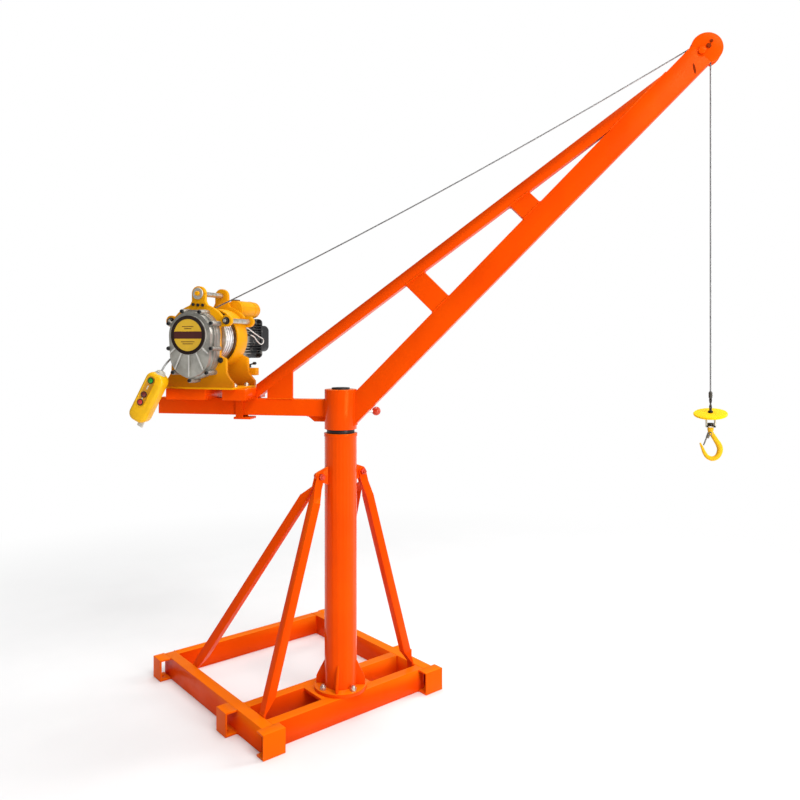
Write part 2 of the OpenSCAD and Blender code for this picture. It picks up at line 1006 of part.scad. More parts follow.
// Motor body with a round flange, straight cooling fins to a square outline, and a square end plate
module motor() {
    body_r = motor_r - 12;
    half_w = motor_r - 8;
    half_h = motor_r - 2;
    ring_l = 44;
    plate_l = 10;
    fin_t = 3;
    spread = 0.74;
    color(black)
        on_winch(motor_y) {
            cylinder(h = ring_l, r = motor_r - 1, $fn = 96);
            translate([0, 0, motor_l - plate_l])
                linear_extrude(plate_l)
                    round_rect(2 * half_w, 2 * half_h, 16);
            linear_extrude(motor_l - 1) {
                circle(r = body_r, $fn = 96);
                for (i = [0 : fins - 1])
                    let (f = spread * (2 * i / (fins - 1) - 1)) {
                        translate([0, f * half_h])
                            square([2 * half_w - 2, fin_t], center = true);
                        translate([f * half_w, 0])
                            square([fin_t, 2 * half_h - 2], center = true);
                    }
            }
        }
}

// Black fan cowl on the motor's end, square with broad corners
module motor_cap() {
    cowl_w = 104;
    edge = 8;
    corner = 22;
    color(black)
        on_winch(motor_y + motor_l)
            hull() {
                linear_extrude(cap_l - edge)
                    round_rect(cowl_w, cowl_w, corner);
                linear_extrude(cap_l)
                    round_rect(cowl_w - 2 * edge, cowl_w - 2 * edge, corner - edge);
            }
}

// Round capacitor housing on the back of the rear bracket
module capacitor_box() {
    can_r = 31;
    can_l = 156;
    edge = 12;
    can_p = [46, 109];
    color(yellow)
        in_winch()
            translate([can_p[0], motor_y, can_p[1]])
                rotate([-90, 0, 0])
                    rotate_extrude()
                        polygon([
                            [0, 0],
                            [can_r, 0],
                            [can_r, can_l - edge],
                            [can_r - 0.3 * edge, can_l - 0.3 * edge],
                            [can_r - edge, can_l],
                            [0, can_l]
                        ]);
}

// Limit switch on the back of the rear bracket, over its foot
module limit_switch() {
    box = [38, 28, 27];
    color(yellow)
        in_winch()
            translate([94, motor_y, -winch_h + 36])
                cube(box);
}

// Drum: tube with two flanges on a through shaft
module drum() {
    shaft_l = drum_l + 2 * (drum_gap + bracket_t) - 1;
    color(zinc)
        on_winch(-drum_y) {
            difference() {
                cylinder(h = drum_l, r = core_r, $fn = 96);
                translate([0, 0, flange_w])
                    cylinder(h = drum_l - 2 * flange_w, r = core_r - core_wall, $fn = 96);
            }
            for (z = [0, drum_l - flange_w])
                translate([0, 0, z])
                    cylinder(h = flange_w, r = drum_r, $fn = 96);
            translate([0, 0, (drum_l - shaft_l) / 2])
                cylinder(h = shaft_l, r = shaft_r, $fn = 96);
        }
}

module rope_winding() {
    color("gray")
        on_winch(-drum_y + flange_w)
            rotate_extrude($fn = 96)
                translate([core_r, 0])
                    square([winding_r - core_r, drum_l - 2 * flange_w]);
}

// Rope run from the drum's top to the sheave's top, as short straight lengths of a sagging line
// It leaves the drum in front of the boom plane and comes to the sheave in that plane.
rope_n = 12;
rope_y = -52;
rope_angle = 33;
lead_r = winding_r + rope_d / 2 + 0.6;
lead_a = 20;
run_from = [
    -winch_x - rope_y * tan(winch_turn) - lead_r * sin(lead_a),
    winch_z + lead_r * cos(lead_a)
];
run_to = sheave_c + (sheave_r + 0.2) * [-sin(rope_angle), cos(rope_angle)];
function run_line(t) = run_from + t * (run_to - run_from) - [0, 4 * rope_sag * t * (1 - t)];
function run_point(t) = let (p = run_line(t)) [p[0], (1 - t) * rope_y, p[1]];

// Sweep of a round section with n sides along points, with one radius for each point
function ring_at(p, d, r, n) =
    let (z = d / norm(d))
    let (x0 = cross(z, [0.1, 1, 0.05]))
    let (x = x0 / norm(x0))
    let (y = cross(z, x))
    [for (i = [0 : n - 1]) p + r * (cos(360 * i / n) * x + sin(360 * i / n) * y)];

module sweep(points, radii, n) {
    m = len(points);
    rings = [for (i = [0 : m - 1])
        let (a = points[max(i - 1, 0)])
        let (b = points[min(i + 1, m - 1)])
        ring_at(points[i], b - a, radii[i], n)];
    sides = [for (i = [0 : m - 2]) for (k = [0 : n - 1])
        let (a = i * n + k)
        let (b = i * n + (k + 1) % n)
        each [[a, a + n, b + n], [a, b + n, b]]];
    first = [[for (k = [0 : n - 1]) k]];
    last = [[for (k = [0 : n - 1]) m * n - 1 - k]];
    polyhedron(points = [for (ring = rings) each ring], faces = concat(sides, first, last));
}

module rope_run() {
    color("gray")
        on_boom()
            sweep(
                [for (i = [0 : rope_n]) run_point(i / rope_n)],
                [for (i = [0 : rope_n]) rope_d / 2],
                8
            );
}

module rope_fall() {
    color("gray")
        on_boom()
            translate([fall_x, 0, rope_end_z])
                cylinder(h = sheave_c[1] - rope_end_z, d = rope_d);
}

// Pressed ferrule at the rope's end, and the doubled rope that comes down to the disc
module rope_end() {
    ferrule_d = 2.4 * rope_d;
    color(black)
        on_boom()
            translate([fall_x, 0, 0])
                difference() {
                    union() {
                        translate([0, 0, eye_z])
                            cylinder(h = ferrule_l, d = ferrule_d);
                        translate([0, 0, disc_z + disc_t / 2])
                            cylinder(h = eye_h + disc_t / 2 + 1, d = 2 * rope_d);
                    }
                    disc_space();
                }
}

// Moves children to the disc's centre on the rope's axis, tilted with the disc
module on_disc() {
    tilt_turn = -16;
    translate([0, 0, disc_z + disc_t / 2])
        rotate([0, 0, tilt_turn])
            rotate([disc_tilt, 0, 0])
                children();
}

// Room that the tilted disc takes
module disc_space() {
    on_disc()
        cube([disc_d, disc_d, disc_t], center = true);
}

module limiter_disc() {
    edge = 2;
    color(yellow)
        on_boom()
            translate([fall_x, 0, 0])
                on_disc()
                    rotate_extrude($fn = 96)
                        polygon([
                            [0, -disc_t / 2],
                            [disc_d / 2 - edge, -disc_t / 2],
                            [disc_d / 2, -disc_t / 2 + edge],
                            [disc_d / 2, disc_t / 2 - edge],
                            [disc_d / 2 - edge, disc_t / 2],
                            [0, disc_t / 2]
                        ]);
}

// Moves children to the rope's axis, turned with the hook
module on_hook() {
    on_boom()
        translate([fall_x, 0, 0])
            rotate([0, 0, hook_turn])
                children();
}

// Yoke under the disc that carries the hook's swivel
module hook_yoke() {
    yoke_d = 22;
    color(yellow)
        on_boom()
            translate([fall_x, 0, 0])
                difference() {
                    rotate([0, 0, hook_turn])
                        translate([0, 0, yoke_z])
                            difference() {
                                translate([-yoke_w / 2, -yoke_d / 2, 0])
                                    cube([yoke_w, yoke_d, yoke_h + disc_t / 2]);
                                translate([-yoke_w / 2 + yoke_t, -yoke_d, yoke_t])
                                    cube([yoke_w - 2 * yoke_t, 2 * yoke_d, yoke_h + disc_t]);
                                translate([0, 0, -1])
                                    cylinder(h = yoke_t + 2, d = shank_d + 2 * run_fit);
                            }
                    disc_space();
                }
}

// Centre line of the hook in its plane: across, down from the yoke, and half thickness as a share of hook_t
hook_line = [
    [0, -2, 0.50], [0, -15, 0.50], [7, -26, 0.48], [16, -41, 0.51], [25, -56, 0.58], [29, -71, 0.58],
    [26, -86, 0.54], [18, -98, 0.51], [4, -103, 0.48], [-10, -97, 0.43], [-19, -84, 0.37], [-25, -69, 0.28],
    [-30, -58, 0.20], [-32, -52, 0.12]
];
hook_scale = hook_h / 110;
pivot_p = [-2, neck_top - 20];
pivot_r = 3;
latch_w = 3;

// Point at share t of the span i of a smooth curve through p
function curve_at(p, i, t) =
    let (a = p[max(i - 1, 0)])
    let (b = p[i])
    let (c = p[i + 1])
    let (d = p[min(i + 2, len(p) - 1)])
    0.5 * (2 * b + t * (c - a) + t * t * (2 * a - 5 * b + 4 * c - d) + t * t * t * (3 * b - a - 3 * c + d));

// Forged hook: swivel nut, shank, collar and a bowl that opens to the winch side and thins to its tip
module hook() {
    nut_h = 9;
    nut_d = 18;
    collar_h = 10;
    steps = 4;
    spans = len(hook_line) - 1;
    line = [for (i = [0 : spans * steps])
        let (k = min(floor(i / steps), spans - 1))
        curve_at(hook_line, k, i / steps - k)];
    color(yellow)
        on_hook() {
            translate([0, 0, yoke_z + yoke_t + slide_gap])
                cylinder(h = nut_h, d = nut_d);
            translate([0, 0, neck_top - 1])
                cylinder(h = yoke_t + 2 * slide_gap + 2, d = shank_d);
            translate([0, 0, neck_top - collar_h])
                cylinder(h = collar_h, d = hook_t + 3);
            sweep(
                [for (q = line) [hook_scale * q[0], 0, neck_top + hook_scale * q[1]]],
                [for (q = line) hook_t * q[2]],
                16
            );
            translate([pivot_p[0], 0, pivot_p[1]])
                rotate([90, 0, 0])
                    cylinder(h = hook_t + 4 * latch_w, r = pivot_r, center = true);
        }
}

// Sheet latch: two ears on the pivot pin and a tongue that closes on the hook's tip
module hook_latch() {
    ear_gap = hook_t + 4 * slide_gap;
    ear_r = 6;
    tongue_l = 43;
    lean = 20;
    color(zinc)
        on_hook()
            translate([pivot_p[0], 0, pivot_p[1]])
                rotate([0, lean, 0])
                    difference() {
                        union() {
                            for (side = [-1, 1])
                                translate([0, side * (ear_gap + latch_w) / 2, 0])
                                    rotate([90, 0, 0])
                                        linear_extrude(latch_w, center = true)
                                            union() {
                                                circle(r = ear_r);
                                                translate([-ear_r, -hook_t])
                                                    square([ear_r + 1, hook_t]);
                                            }
                            translate([-ear_r, -ear_gap / 2 - latch_w, -hook_t])
                                cube([latch_w, ear_gap + 2 * latch_w, 5]);
                            translate([-ear_r, -6, -tongue_l])
                                cube([latch_w, 12, tongue_l - hook_t + 5]);
                        }
                        rotate([90, 0, 0])
                            cylinder(h = 4 * hook_t, r = pivot_r + run_fit, center = true);
                    }
}

// Top of the pendant's case in the boom's frame, and the length of its neck
pendant_p = [-600, -172, 1190];
pendant_neck = 12;

module on_pendant() {
    on_boom()
        translate(pendant_p)
            rotate([0, pendant_tilt, 0])
                children();
}

// Pendant control: rounded case with a strap neck
module pendant() {
    face_r = 22;
    side_r = 12;
    neck_d = 26;
    color(yellow)
        on_pendant() {
            intersection() {
                translate([0, pendant_d / 2, -pendant_l / 2])
                    rotate([90, 0, 0])
                        linear_extrude(pendant_d)
                            round_rect(pendant_w, pendant_l, face_r);
                translate([-pendant_w / 2, 0, -pendant_l / 2])
                    rotate([90, 0, 90])
                        linear_extrude(pendant_w)
                            round_rect(pendant_d, pendant_l, side_r);
            }
            translate([0, 0, -2])
                cylinder(h = pendant_neck + 2, d = neck_d);
        }
}

module round_rect(w, h, r) {
    hull()
        for (x = [-1, 1], y = [-1, 1])
            translate([x * (w / 2 - r), y * (h / 2 - r)])
                circle(r = r, $fn = 32);
}

module pendant_buttons() {
    color("firebrick")
        on_pendant()
            for (z = [30, 84, 114])
                translate([-8, -pendant_d / 2, -z])
                    rotate([90, 0, 0])
                        cylinder(h = 6, d = 22);
}

// Route of the pendant's lead in the boom's frame, from the pendant's neck to the side of the gear housing
lead_d = 7;
lead_n = 16;
lead_pull = 34;
function from_winch(p) = [
    -winch_x + p[0] * cos(winch_turn) - p[1] * sin(winch_turn),
    p[0] * sin(winch_turn) + p[1] * cos(winch_turn),
    winch_z + p[2]
];
pendant_axis = [sin(pendant_tilt), 0, cos(pendant_tilt)];
lead_from = pendant_p + (pendant_neck + 0.2) * pendant_axis;
lead_to = [-cover_low_r - 0.4, housing_y - housing_d / 2, -cover_drop];
lead_ends = [
    lead_from,
    lead_from + lead_pull * pendant_axis,
    from_winch(lead_to - [lead_pull, 0, 0]),
    from_winch(lead_to)
];
function lead_point(t) =
    let (u = 1 - t)
    u * u * u * lead_ends[0] + 3 * u * u * t * lead_ends[1] + 3 * u * t * t * lead_ends[2] + t * t * t * lead_ends[3];
lead_route = [for (i = [0 : lead_n]) lead_point(i / lead_n)];

module pendant_lead() {
    color("gray")
        on_boom()
            sweep(lead_route, [for (p = lead_route) lead_d / 2], 8);
}

rail(-1);  // left_rail
rail(1);  // right_rail
cross_beam(-base_front);  // front_beam
cross_beam(middle_y);  // middle_beam
cross_beam(base_back - tube_w);  // back_beam
base_feet();
mast_seat();
mast();
mast_head();
mast_bolts();
struts(-1);  // front_struts
struts(1);  // back_struts
slew_collar();
lower_chord();
upper_chord();
boom_webs();
back_arm();
boom_gussets();
head_cheeks();
sheave_pin();
sheave();
slew_lock();
winch_platform();
winch_plate();
front_bracket();
rear_bracket();
tie_rods();
gear_housing();
gear_cover();
motor();
motor_cap();
capacitor_box();
limit_switch();
drum();
rope_winding();
rope_run();
rope_fall();
rope_end();
limiter_disc();
hook_yoke();
hook();
hook_latch();
pendant();
pendant_buttons();
pendant_lead();
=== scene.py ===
"""Mini roof crane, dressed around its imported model: paint, castings, ropes, fasteners, plain studio."""

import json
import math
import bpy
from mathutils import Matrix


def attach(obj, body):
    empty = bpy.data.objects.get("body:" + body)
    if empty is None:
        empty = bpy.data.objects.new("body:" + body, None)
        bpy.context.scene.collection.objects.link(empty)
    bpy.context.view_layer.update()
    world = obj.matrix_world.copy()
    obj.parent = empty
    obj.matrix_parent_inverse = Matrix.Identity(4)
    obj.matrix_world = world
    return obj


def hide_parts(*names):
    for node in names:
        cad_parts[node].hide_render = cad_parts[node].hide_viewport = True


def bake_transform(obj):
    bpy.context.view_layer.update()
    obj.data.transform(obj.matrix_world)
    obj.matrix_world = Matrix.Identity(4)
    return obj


bl_info = {
    "name": "Mini Roof Crane",
    "version": (1, 0, 0),
    "blender": (4, 5, 0),
    "location": "3D View > Sidebar > Crane",
    "description": "Dresses the packed crane with paint, castings, ropes and fasteners",
    "category": "Object",
}

import bmesh
import bpy
from bpy.props import FloatProperty, FloatVectorProperty, IntProperty, PointerProperty
from mathutils import Matrix, Vector
from mathutils.bvhtree import BVHTree
from mathutils.geometry import interpolate_bezier

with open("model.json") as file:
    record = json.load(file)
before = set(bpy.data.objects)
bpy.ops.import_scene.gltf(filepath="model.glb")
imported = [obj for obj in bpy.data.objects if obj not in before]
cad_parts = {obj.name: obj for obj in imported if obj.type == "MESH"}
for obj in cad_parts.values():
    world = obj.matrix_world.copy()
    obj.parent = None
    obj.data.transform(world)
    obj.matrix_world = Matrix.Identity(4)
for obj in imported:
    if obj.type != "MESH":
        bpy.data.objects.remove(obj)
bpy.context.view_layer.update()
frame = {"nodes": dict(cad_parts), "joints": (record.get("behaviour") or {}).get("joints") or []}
NODES = frame["nodes"]
JOINTS = {joint["name"]: joint for joint in frame["joints"]}
UP = Vector((0, 0, 1))
MM = 0.001


def axis_frame(origin, axis):
    """Upright frame at origin whose y runs along a level axis."""
    y = Vector(axis).normalized()
    turn = Matrix((y.cross(UP), y, UP)).transposed().to_4x4()
    turn.translation = Vector(origin)
    return turn


BOOM = axis_frame((0, 0, 0), JOINTS["sheave_spin"]["axis"])
WINCH = axis_frame(JOINTS["drum_spin"]["pos_m"], JOINTS["drum_spin"]["axis"])


def local_box(node, place):
    """Lowest and highest corner of a CAD node in the frame of place."""
    inverse = place.inverted()
    points = [inverse @ v.co for v in NODES[node].data.vertices]
    low = Vector(min(p[i] for p in points) for i in range(3))
    high = Vector(max(p[i] for p in points) for i in range(3))
    return low, high


COVER = local_box("gear_cover", WINCH)
FRONT_BRACKET = local_box("front_bracket", WINCH)
REAR_BRACKET = local_box("rear_bracket", WINCH)
MOTOR = local_box("motor", WINCH)
COWL = local_box("motor_cap", WINCH)
CAN = local_box("capacitor_box", WINCH)
SWITCH = local_box("limit_switch", WINCH)
WINDING = local_box("rope_winding", WINCH)
RODS = local_box("tie_rods", WINCH)
FEET_Z = local_box("rear_bracket", Matrix())[0].z
FALL = local_box("rope_fall", Matrix())
FALL_AXIS = Vector(((FALL[0].x + FALL[1].x) / 2, (FALL[0].y + FALL[1].y) / 2, 0))
HOOK = Matrix.Translation(FALL_AXIS) @ BOOM @ Matrix.Rotation(math.radians(-4), 4, "Z")
PENDANT = BOOM @ Matrix.Translation((-0.600, -0.172, 1.190)) @ Matrix.Rotation(math.radians(28), 4, "Y")
CASE = local_box("pendant", PENDANT)


# Sizes and colours


def size(name, default, description):
    return FloatProperty(
        name=name, description=description, default=default, min=0, subtype="DISTANCE", unit="LENGTH"
    )


def colour(name, default, description):
    return FloatVectorProperty(
        name=name, description=description, default=default, size=3, min=0, max=1, subtype="COLOR"
    )


class CraneColours(bpy.types.PropertyGroup):
    """Colours of the crane's finishes"""

    orange: colour("Orange", (0.84, 0.072, 0.001), "Gloss paint of frame, mast and boom")
    orange_deep: colour("Deep orange", (0.68, 0.036, 0.001), "Thicker or older coats of the orange paint")
    orange_foot: colour("Foot orange", (0.84, 0.115, 0.001), "Second coat of orange on the feet")
    # Lighter orange for faces that look up: a painted highlight of the light from above
    orange_lit_top: colour("Lit top orange", (0.88, 0.165, 0.002), "Orange paint on faces that look up")
    yellow: colour("Yellow", (0.80, 0.34, 0.004), "Paint of the winch's brackets, plate and boxes")
    yellow_deep: colour("Deep yellow", (0.60, 0.21, 0.003), "Thin coats of the winch paint")
    # Darker colour low on the brackets: painted shade
    bracket_painted_shade: colour("Bracket grime", (0.40, 0.09, 0.004), "Painted shade at the foot of the brackets")
    hook: colour("Hook yellow", (0.80, 0.46, 0.02), "Paint of the hook")
    disc: colour("Disc yellow", (0.94, 0.60, 0.003), "Paint of the limiter disc")
    pendant: colour("Pendant yellow", (0.93, 0.50, 0.003), "Moulded case of the pendant control")
    casting: colour("Casting", (0.42, 0.405, 0.36), "Cast aluminium of the gear case")
    zinc: colour("Zinc", (0.62, 0.61, 0.57), "Plated fasteners and rods")
    rope: colour("Rope", (0.26, 0.26, 0.26), "Steel wire rope")
    # Far lighter than the rope elsewhere: a painted highlight on the rope wound on the drum
    coil: colour("Coil", (0.82, 0.82, 0.82), "Rope on the drum")
    black: colour("Black", (0.011, 0.011, 0.012), "Motor, cowl and blackened fasteners")
    rust_red: colour("Dark red", (0.22, 0.022, 0.003), "Darkened paint on bolts and weld plugs")
    ferrule: colour("Ferrule", (0.085, 0.085, 0.085), "Pressed ferrule and doubled rope over the disc")
    latch: colour("Latch", (0.24, 0.23, 0.21), "Steel of the hook's latch")
    pendant_deep: colour("Pendant slot", (0.62, 0.27, 0.003), "Recessed field round the pendant's buttons")
    label_ring: colour("Label ring", (0.012, 0.004, 0.002), "Ring of the round label, grommet of the disc")
    label_band: colour("Label band", (0.065, 0.012, 0.009), "Band and strokes of the round label")
    label: colour("Label", (0.72, 0.43, 0.02), "Field of the round label")
    knob: colour("Knob", (0.62, 0.05, 0.012), "Ball knob of the slew lock")
    green: colour("Green button", (0.01, 0.30, 0.02), "Start button")
    red: colour("Red button", (0.50, 0.03, 0.03), "Stop button")
    maroon: colour("Maroon button", (0.16, 0.02, 0.012), "Middle button")
    hood: colour("Hood", (0.60, 0.57, 0.48), "Clear rubber of the pendant's hood and strap")
    wire: colour("Wire", (0.80, 0.79, 0.74), "Sleeve of the limit wire")
    lead: colour("Lead", (0.36, 0.36, 0.35), "Jacket of the pendant's lead")


class CraneSizes(bpy.types.PropertyGroup):
    """Sizes of the pieces that dress the crane"""

    edge: size("Edge", 2.2 * MM, "Rounding of the frame tubes' edges")
    small_edge: size("Small edge", 0.8 * MM, "Rounding of plates, castings and fasteners")
    rope: size("Rope", 5.0 * MM, "Diameter of the rope")
    rope_lay: size("Rope lay", 34 * MM, "Length of one turn of the rope's strands")
    strands: IntProperty(name="Strands", description="Strands of the rope", default=6, min=3, max=8)
    thread_pitch: size("Thread pitch", 1.75 * MM, "Pitch of the tie rods' thread")
    rod: size("Tie rod", 12 * MM, "Diameter of the tie rods")
    spacer: size("Spacer", 18 * MM, "Diameter of the tie rods' spacers")
    cover_screw: size("Cover screw", 12 * MM, "Head diameter of the cover's screws")
    bead: size("Weld bead", 3.2 * MM, "Radius of the weld beads")
    lead: size("Pendant lead", 7 * MM, "Diameter of the pendant's lead")
    wire: size("Limit wire", 4 * MM, "Diameter of the limit wire")


def colours():
    return bpy.context.scene.crane_colours


def sizes():
    return bpy.context.scene.crane_sizes


# Materials

# Tones of sheen, wear and dirt, and of painted highlights and glints
SHEEN = (1, 0.6, 0.1)
FLOOR_DUST = (0.3, 0.16, 0.07)
RIB_HIGHLIGHT = (0.78, 0.77, 0.73)
YELLOW_BLOOM = (0.81, 0.72, 0.54)
GREASE = (0.13, 0.12, 0.11)
THICK_GREASE = (0.12, 0.12, 0.12)
ENAMEL_DUST = (0.06, 0.057, 0.052)
MOTOR_DUST = (0.07, 0.066, 0.06)
MOTOR_GLINTS = (0.30, 0.30, 0.27)
DULL_PLATE = (0.50, 0.44, 0.31)


class Shader:
    """A material under construction: one Principled shader and the nodes that feed it."""

    def __init__(self, name, roughness=0.5, metallic=0.0):
        self.material = bpy.data.materials.new(name)
        self.material.use_nodes = True
        tree = self.material.node_tree
        self.nodes = tree.nodes
        self.links = tree.links
        self.bsdf = self.nodes["Principled BSDF"]
        self.bsdf.inputs["Roughness"].default_value = roughness
        self.bsdf.inputs["Metallic"].default_value = metallic
        self.coords = self.nodes.new("ShaderNodeTexCoord").outputs["Object"]

    def put(self, value, socket):
        if hasattr(value, "is_linked"):
            self.links.new(value, socket)
        elif socket.type == "RGBA":
            socket.default_value = (*value[:3], 1)
        else:
            socket.default_value = value

    def noise(self, scale, detail=3.0, roughness=0.55, stretch=None):
        node = self.nodes.new("ShaderNodeTexNoise")
        node.inputs["Scale"].default_value = scale
        node.inputs["Detail"].default_value = detail
        node.inputs["Roughness"].default_value = roughness
        source = self.coords
        if stretch:
            mapping = self.nodes.new("ShaderNodeMapping")
            mapping.inputs["Scale"].default_value = stretch
            self.links.new(source, mapping.inputs["Vector"])
            source = mapping.outputs["Vector"]
        self.links.new(source, node.inputs["Vector"])
        return node.outputs["Fac"]

    def ramp(self, value, low, high, out_low=0.0, out_high=1.0):
        node = self.nodes.new("ShaderNodeMapRange")
        node.interpolation_type = "SMOOTHSTEP"
        self.links.new(value, node.inputs["Value"])
        limits = {"From Min": low, "From Max": high, "To Min": out_low, "To Max": out_high}
        for key, number in limits.items():
            node.inputs[key].default_value = number
        return node.outputs["Result"]

    def mix(self, factor, first, second):
        node = self.nodes.new("ShaderNodeMix")
        node.data_type = "RGBA"
        self.put(factor, node.inputs["Factor"])
        self.put(first, node.inputs["A"])
        self.put(second, node.inputs["B"])
        return node.outputs["Result"]

    def math(self, operation, first, second=0.0):
        node = self.nodes.new("ShaderNodeMath")
        node.operation = operation
        self.put(first, node.inputs[0])
        self.put(second, node.inputs[1])
        return node.outputs[0]

    def axis(self, place, name):
        """One coordinate of the surface in the frame of place."""
        mapping = self.nodes.new("ShaderNodeMapping")
        mapping.vector_type = "TEXTURE"
        mapping.inputs["Location"].default_value = place.translation
        mapping.inputs["Rotation"].default_value = place.to_euler()
        self.links.new(self.coords, mapping.inputs["Vector"])
        split = self.nodes.new("ShaderNodeSeparateXYZ")
        self.links.new(mapping.outputs["Vector"], split.inputs["Vector"])
        return split.outputs[name]

    def facing_up(self):
        """How far the surface looks up, from -1 to 1."""
        split = self.nodes.new("ShaderNodeSeparateXYZ")
        self.links.new(self.nodes.new("ShaderNodeNewGeometry").outputs["Normal"], split.inputs["Vector"])
        return split.outputs["Z"]

    def colour(self, value):
        self.put(value, self.bsdf.inputs["Base Color"])

    def roughness(self, scale, detail, low, high):
        """Roughness that clouds between two values."""
        cloud = self.ramp(self.noise(scale, detail), 0.3, 0.7, low, high)
        self.put(cloud, self.bsdf.inputs["Roughness"])

    def grain(self, scale, strength, distance, detail=2):
        """Fine bumps all over the surface."""
        node = self.nodes.new("ShaderNodeBump")
        node.inputs["Strength"].default_value = strength
        node.inputs["Distance"].default_value = distance
        self.links.new(self.noise(scale, detail), node.inputs["Height"])
        self.links.new(node.outputs["Normal"], self.bsdf.inputs["Normal"])


def darker(base, share):
    """Colour brought down to a share of itself."""
    return [share * c for c in base]


def between(first, second, share):
    """Colour at a share of the way from one colour to another."""
    return [x + share * (y - x) for x, y in zip(first, second)]


def gloss_paint(name, fresh, deep, roughness=0.3, top=None, gloss=0.12, painted_shade=None):
    """Sprayed paint: cloudiness, runs, orange peel, a painted highlight on faces that look up, a trace of
    dust near the floor, painted shade at a foot.
    """
    s = Shader(name, roughness)
    s.bsdf.inputs["Specular Tint"].default_value = (*between(fresh, SHEEN, 0.6), 1)
    s.bsdf.inputs["Specular IOR Level"].default_value = gloss
    cloud = s.ramp(s.noise(3.5, 4), 0.32, 0.72)
    sag = s.ramp(s.noise(9, 2, 0.5, (1, 1, 0.12)), 0.45, 0.8, 0.0, 0.3)
    paint = s.mix(cloud, fresh, between(fresh, deep, 0.4))
    paint = s.mix(sag, paint, deep)
    # Faces that look up are mixed towards the top colour: a painted highlight
    if top:
        paint = s.mix(s.ramp(s.facing_up(), 0.2, 0.95), paint, top)
    # Painted shade: darker towards the foot, fading out over a height
    if painted_shade:
        foot, reach, shade_colour = painted_shade
        paint = s.mix(s.ramp(s.axis(Matrix(), "Z"), foot, foot + reach, 0.75, 0.0), paint, shade_colour)
    low = s.ramp(s.axis(Matrix(), "Z"), 0.0, 0.03, 0.12, 0.0)
    dust = s.math("MULTIPLY", low, s.ramp(s.noise(26, 5, 0.65), 0.42, 0.75))
    s.colour(s.mix(dust, paint, between(deep, FLOOR_DUST, 0.5)))
    s.roughness(14, 4, roughness - 0.07, roughness + 0.09)
    s.grain(620, 0.05, 0.0004)
    return s.material


def casting(name, base, worn=None):
    """Die-cast aluminium with a blasted grain and darker clouds, and a painted highlight along its ribs."""
    s = Shader(name, 0.42, 0.75)
    cloud = s.ramp(s.noise(22, 4), 0.3, 0.72)
    metal = s.mix(cloud, base, darker(base, 0.66))
    # Painted highlight: a bright band at the ribs' depth along the winch axis
    if worn:
        depth = s.math("ABSOLUTE", s.math("SUBTRACT", s.axis(WINCH, "Y"), worn))
        metal = s.mix(s.ramp(depth, 0.0012, 0.0024, 0.6, 0.0), metal, RIB_HIGHLIGHT)
    s.colour(metal)
    s.roughness(60, 3, 0.34, 0.52)
    s.grain(900, 0.16, 0.0004, 3)
    return s.material


def plated(name, base, roughness=0.34):
    """Plated steel with a faint yellow bloom."""
    s = Shader(name, roughness, 0.9)
    cloud = s.ramp(s.noise(60, 4), 0.35, 0.7)
    s.colour(s.mix(cloud, base, [x * y for x, y in zip(base, YELLOW_BLOOM)]))
    s.roughness(140, 3, roughness - 0.06, roughness + 0.12)
    s.grain(1400, 0.08, 0.0002)
    return s.material


def wire_rope(name, base, pitch=0.0):
    """Drawn steel wires with a film of grease, thicker in bands along a coil."""
    s = Shader(name, 0.38, 0.85)
    grease = s.ramp(s.noise(130, 4), 0.48, 0.78, 0.0, 0.5)
    steel = s.mix(grease, base, GREASE)
    if pitch:
        wave = s.math("SINE", s.math("MULTIPLY", s.axis(WINCH, "Y"), math.tau / pitch))
        steel = s.mix(s.ramp(wave, 0.1, 0.95, 0.0, 0.75), steel, THICK_GREASE)
    s.colour(steel)
    s.grain(2600, 0.25, 0.0002)
    return s.material


def moulded(name, base, roughness=0.32, grain=900, gloss=0.5):
    """Moulded plastic with a fine grain and slightly worn gloss."""
    s = Shader(name, roughness)
    s.bsdf.inputs["Specular IOR Level"].default_value = gloss
    cloud = s.ramp(s.noise(16, 3), 0.3, 0.75)
    s.colour(s.mix(cloud, base, darker(base, 0.84)))
    s.roughness(45, 4, roughness - 0.06, roughness + 0.10)
    s.grain(grain, 0.12, 0.0003)
    return s.material


def black_enamel(name, base, roughness=0.42):
    """Black enamel, greyed a little by dust."""
    s = Shader(name, roughness)
    s.bsdf.inputs["Specular IOR Level"].default_value = 0.3
    dust = s.ramp(s.noise(38, 5, 0.6), 0.48, 0.82, 0.0, 0.3)
    s.colour(s.mix(dust, base, ENAMEL_DUST))
    s.roughness(70, 3, roughness - 0.08, roughness + 0.12)
    s.grain(800, 0.12, 0.0003)
    return s.material


def motor_shell(name, base, bare, limit):
    """Motor casing: bare aluminium flange up to limit along the winch axis, black fins behind it with
    painted glints.
    """
    s = Shader(name, 0.45)
    s.bsdf.inputs["Specular IOR Level"].default_value = 0.3
    edge = s.math("ADD", s.axis(WINCH, "Y"), s.ramp(s.noise(45, 4), 0.3, 0.7, -0.008, 0.008))
    behind = s.ramp(edge, limit - 0.012, limit + 0.012)
    dust = s.ramp(s.noise(38, 5, 0.6), 0.48, 0.82, 0.0, 0.3)
    dark = s.mix(dust, base, MOTOR_DUST)
    # Painted glints: bright specks on the black fins
    dark = s.mix(s.ramp(s.noise(75, 2), 0.60, 0.68, 0.0, 0.5), dark, MOTOR_GLINTS)
    pale = s.mix(s.ramp(s.noise(40, 4), 0.3, 0.7), bare, darker(bare, 0.7))
    s.colour(s.mix(behind, pale, dark))
    s.put(s.ramp(behind, 0, 1, 0.6, 0.0), s.bsdf.inputs["Metallic"])
    s.grain(900, 0.12, 0.0003)
    return s.material


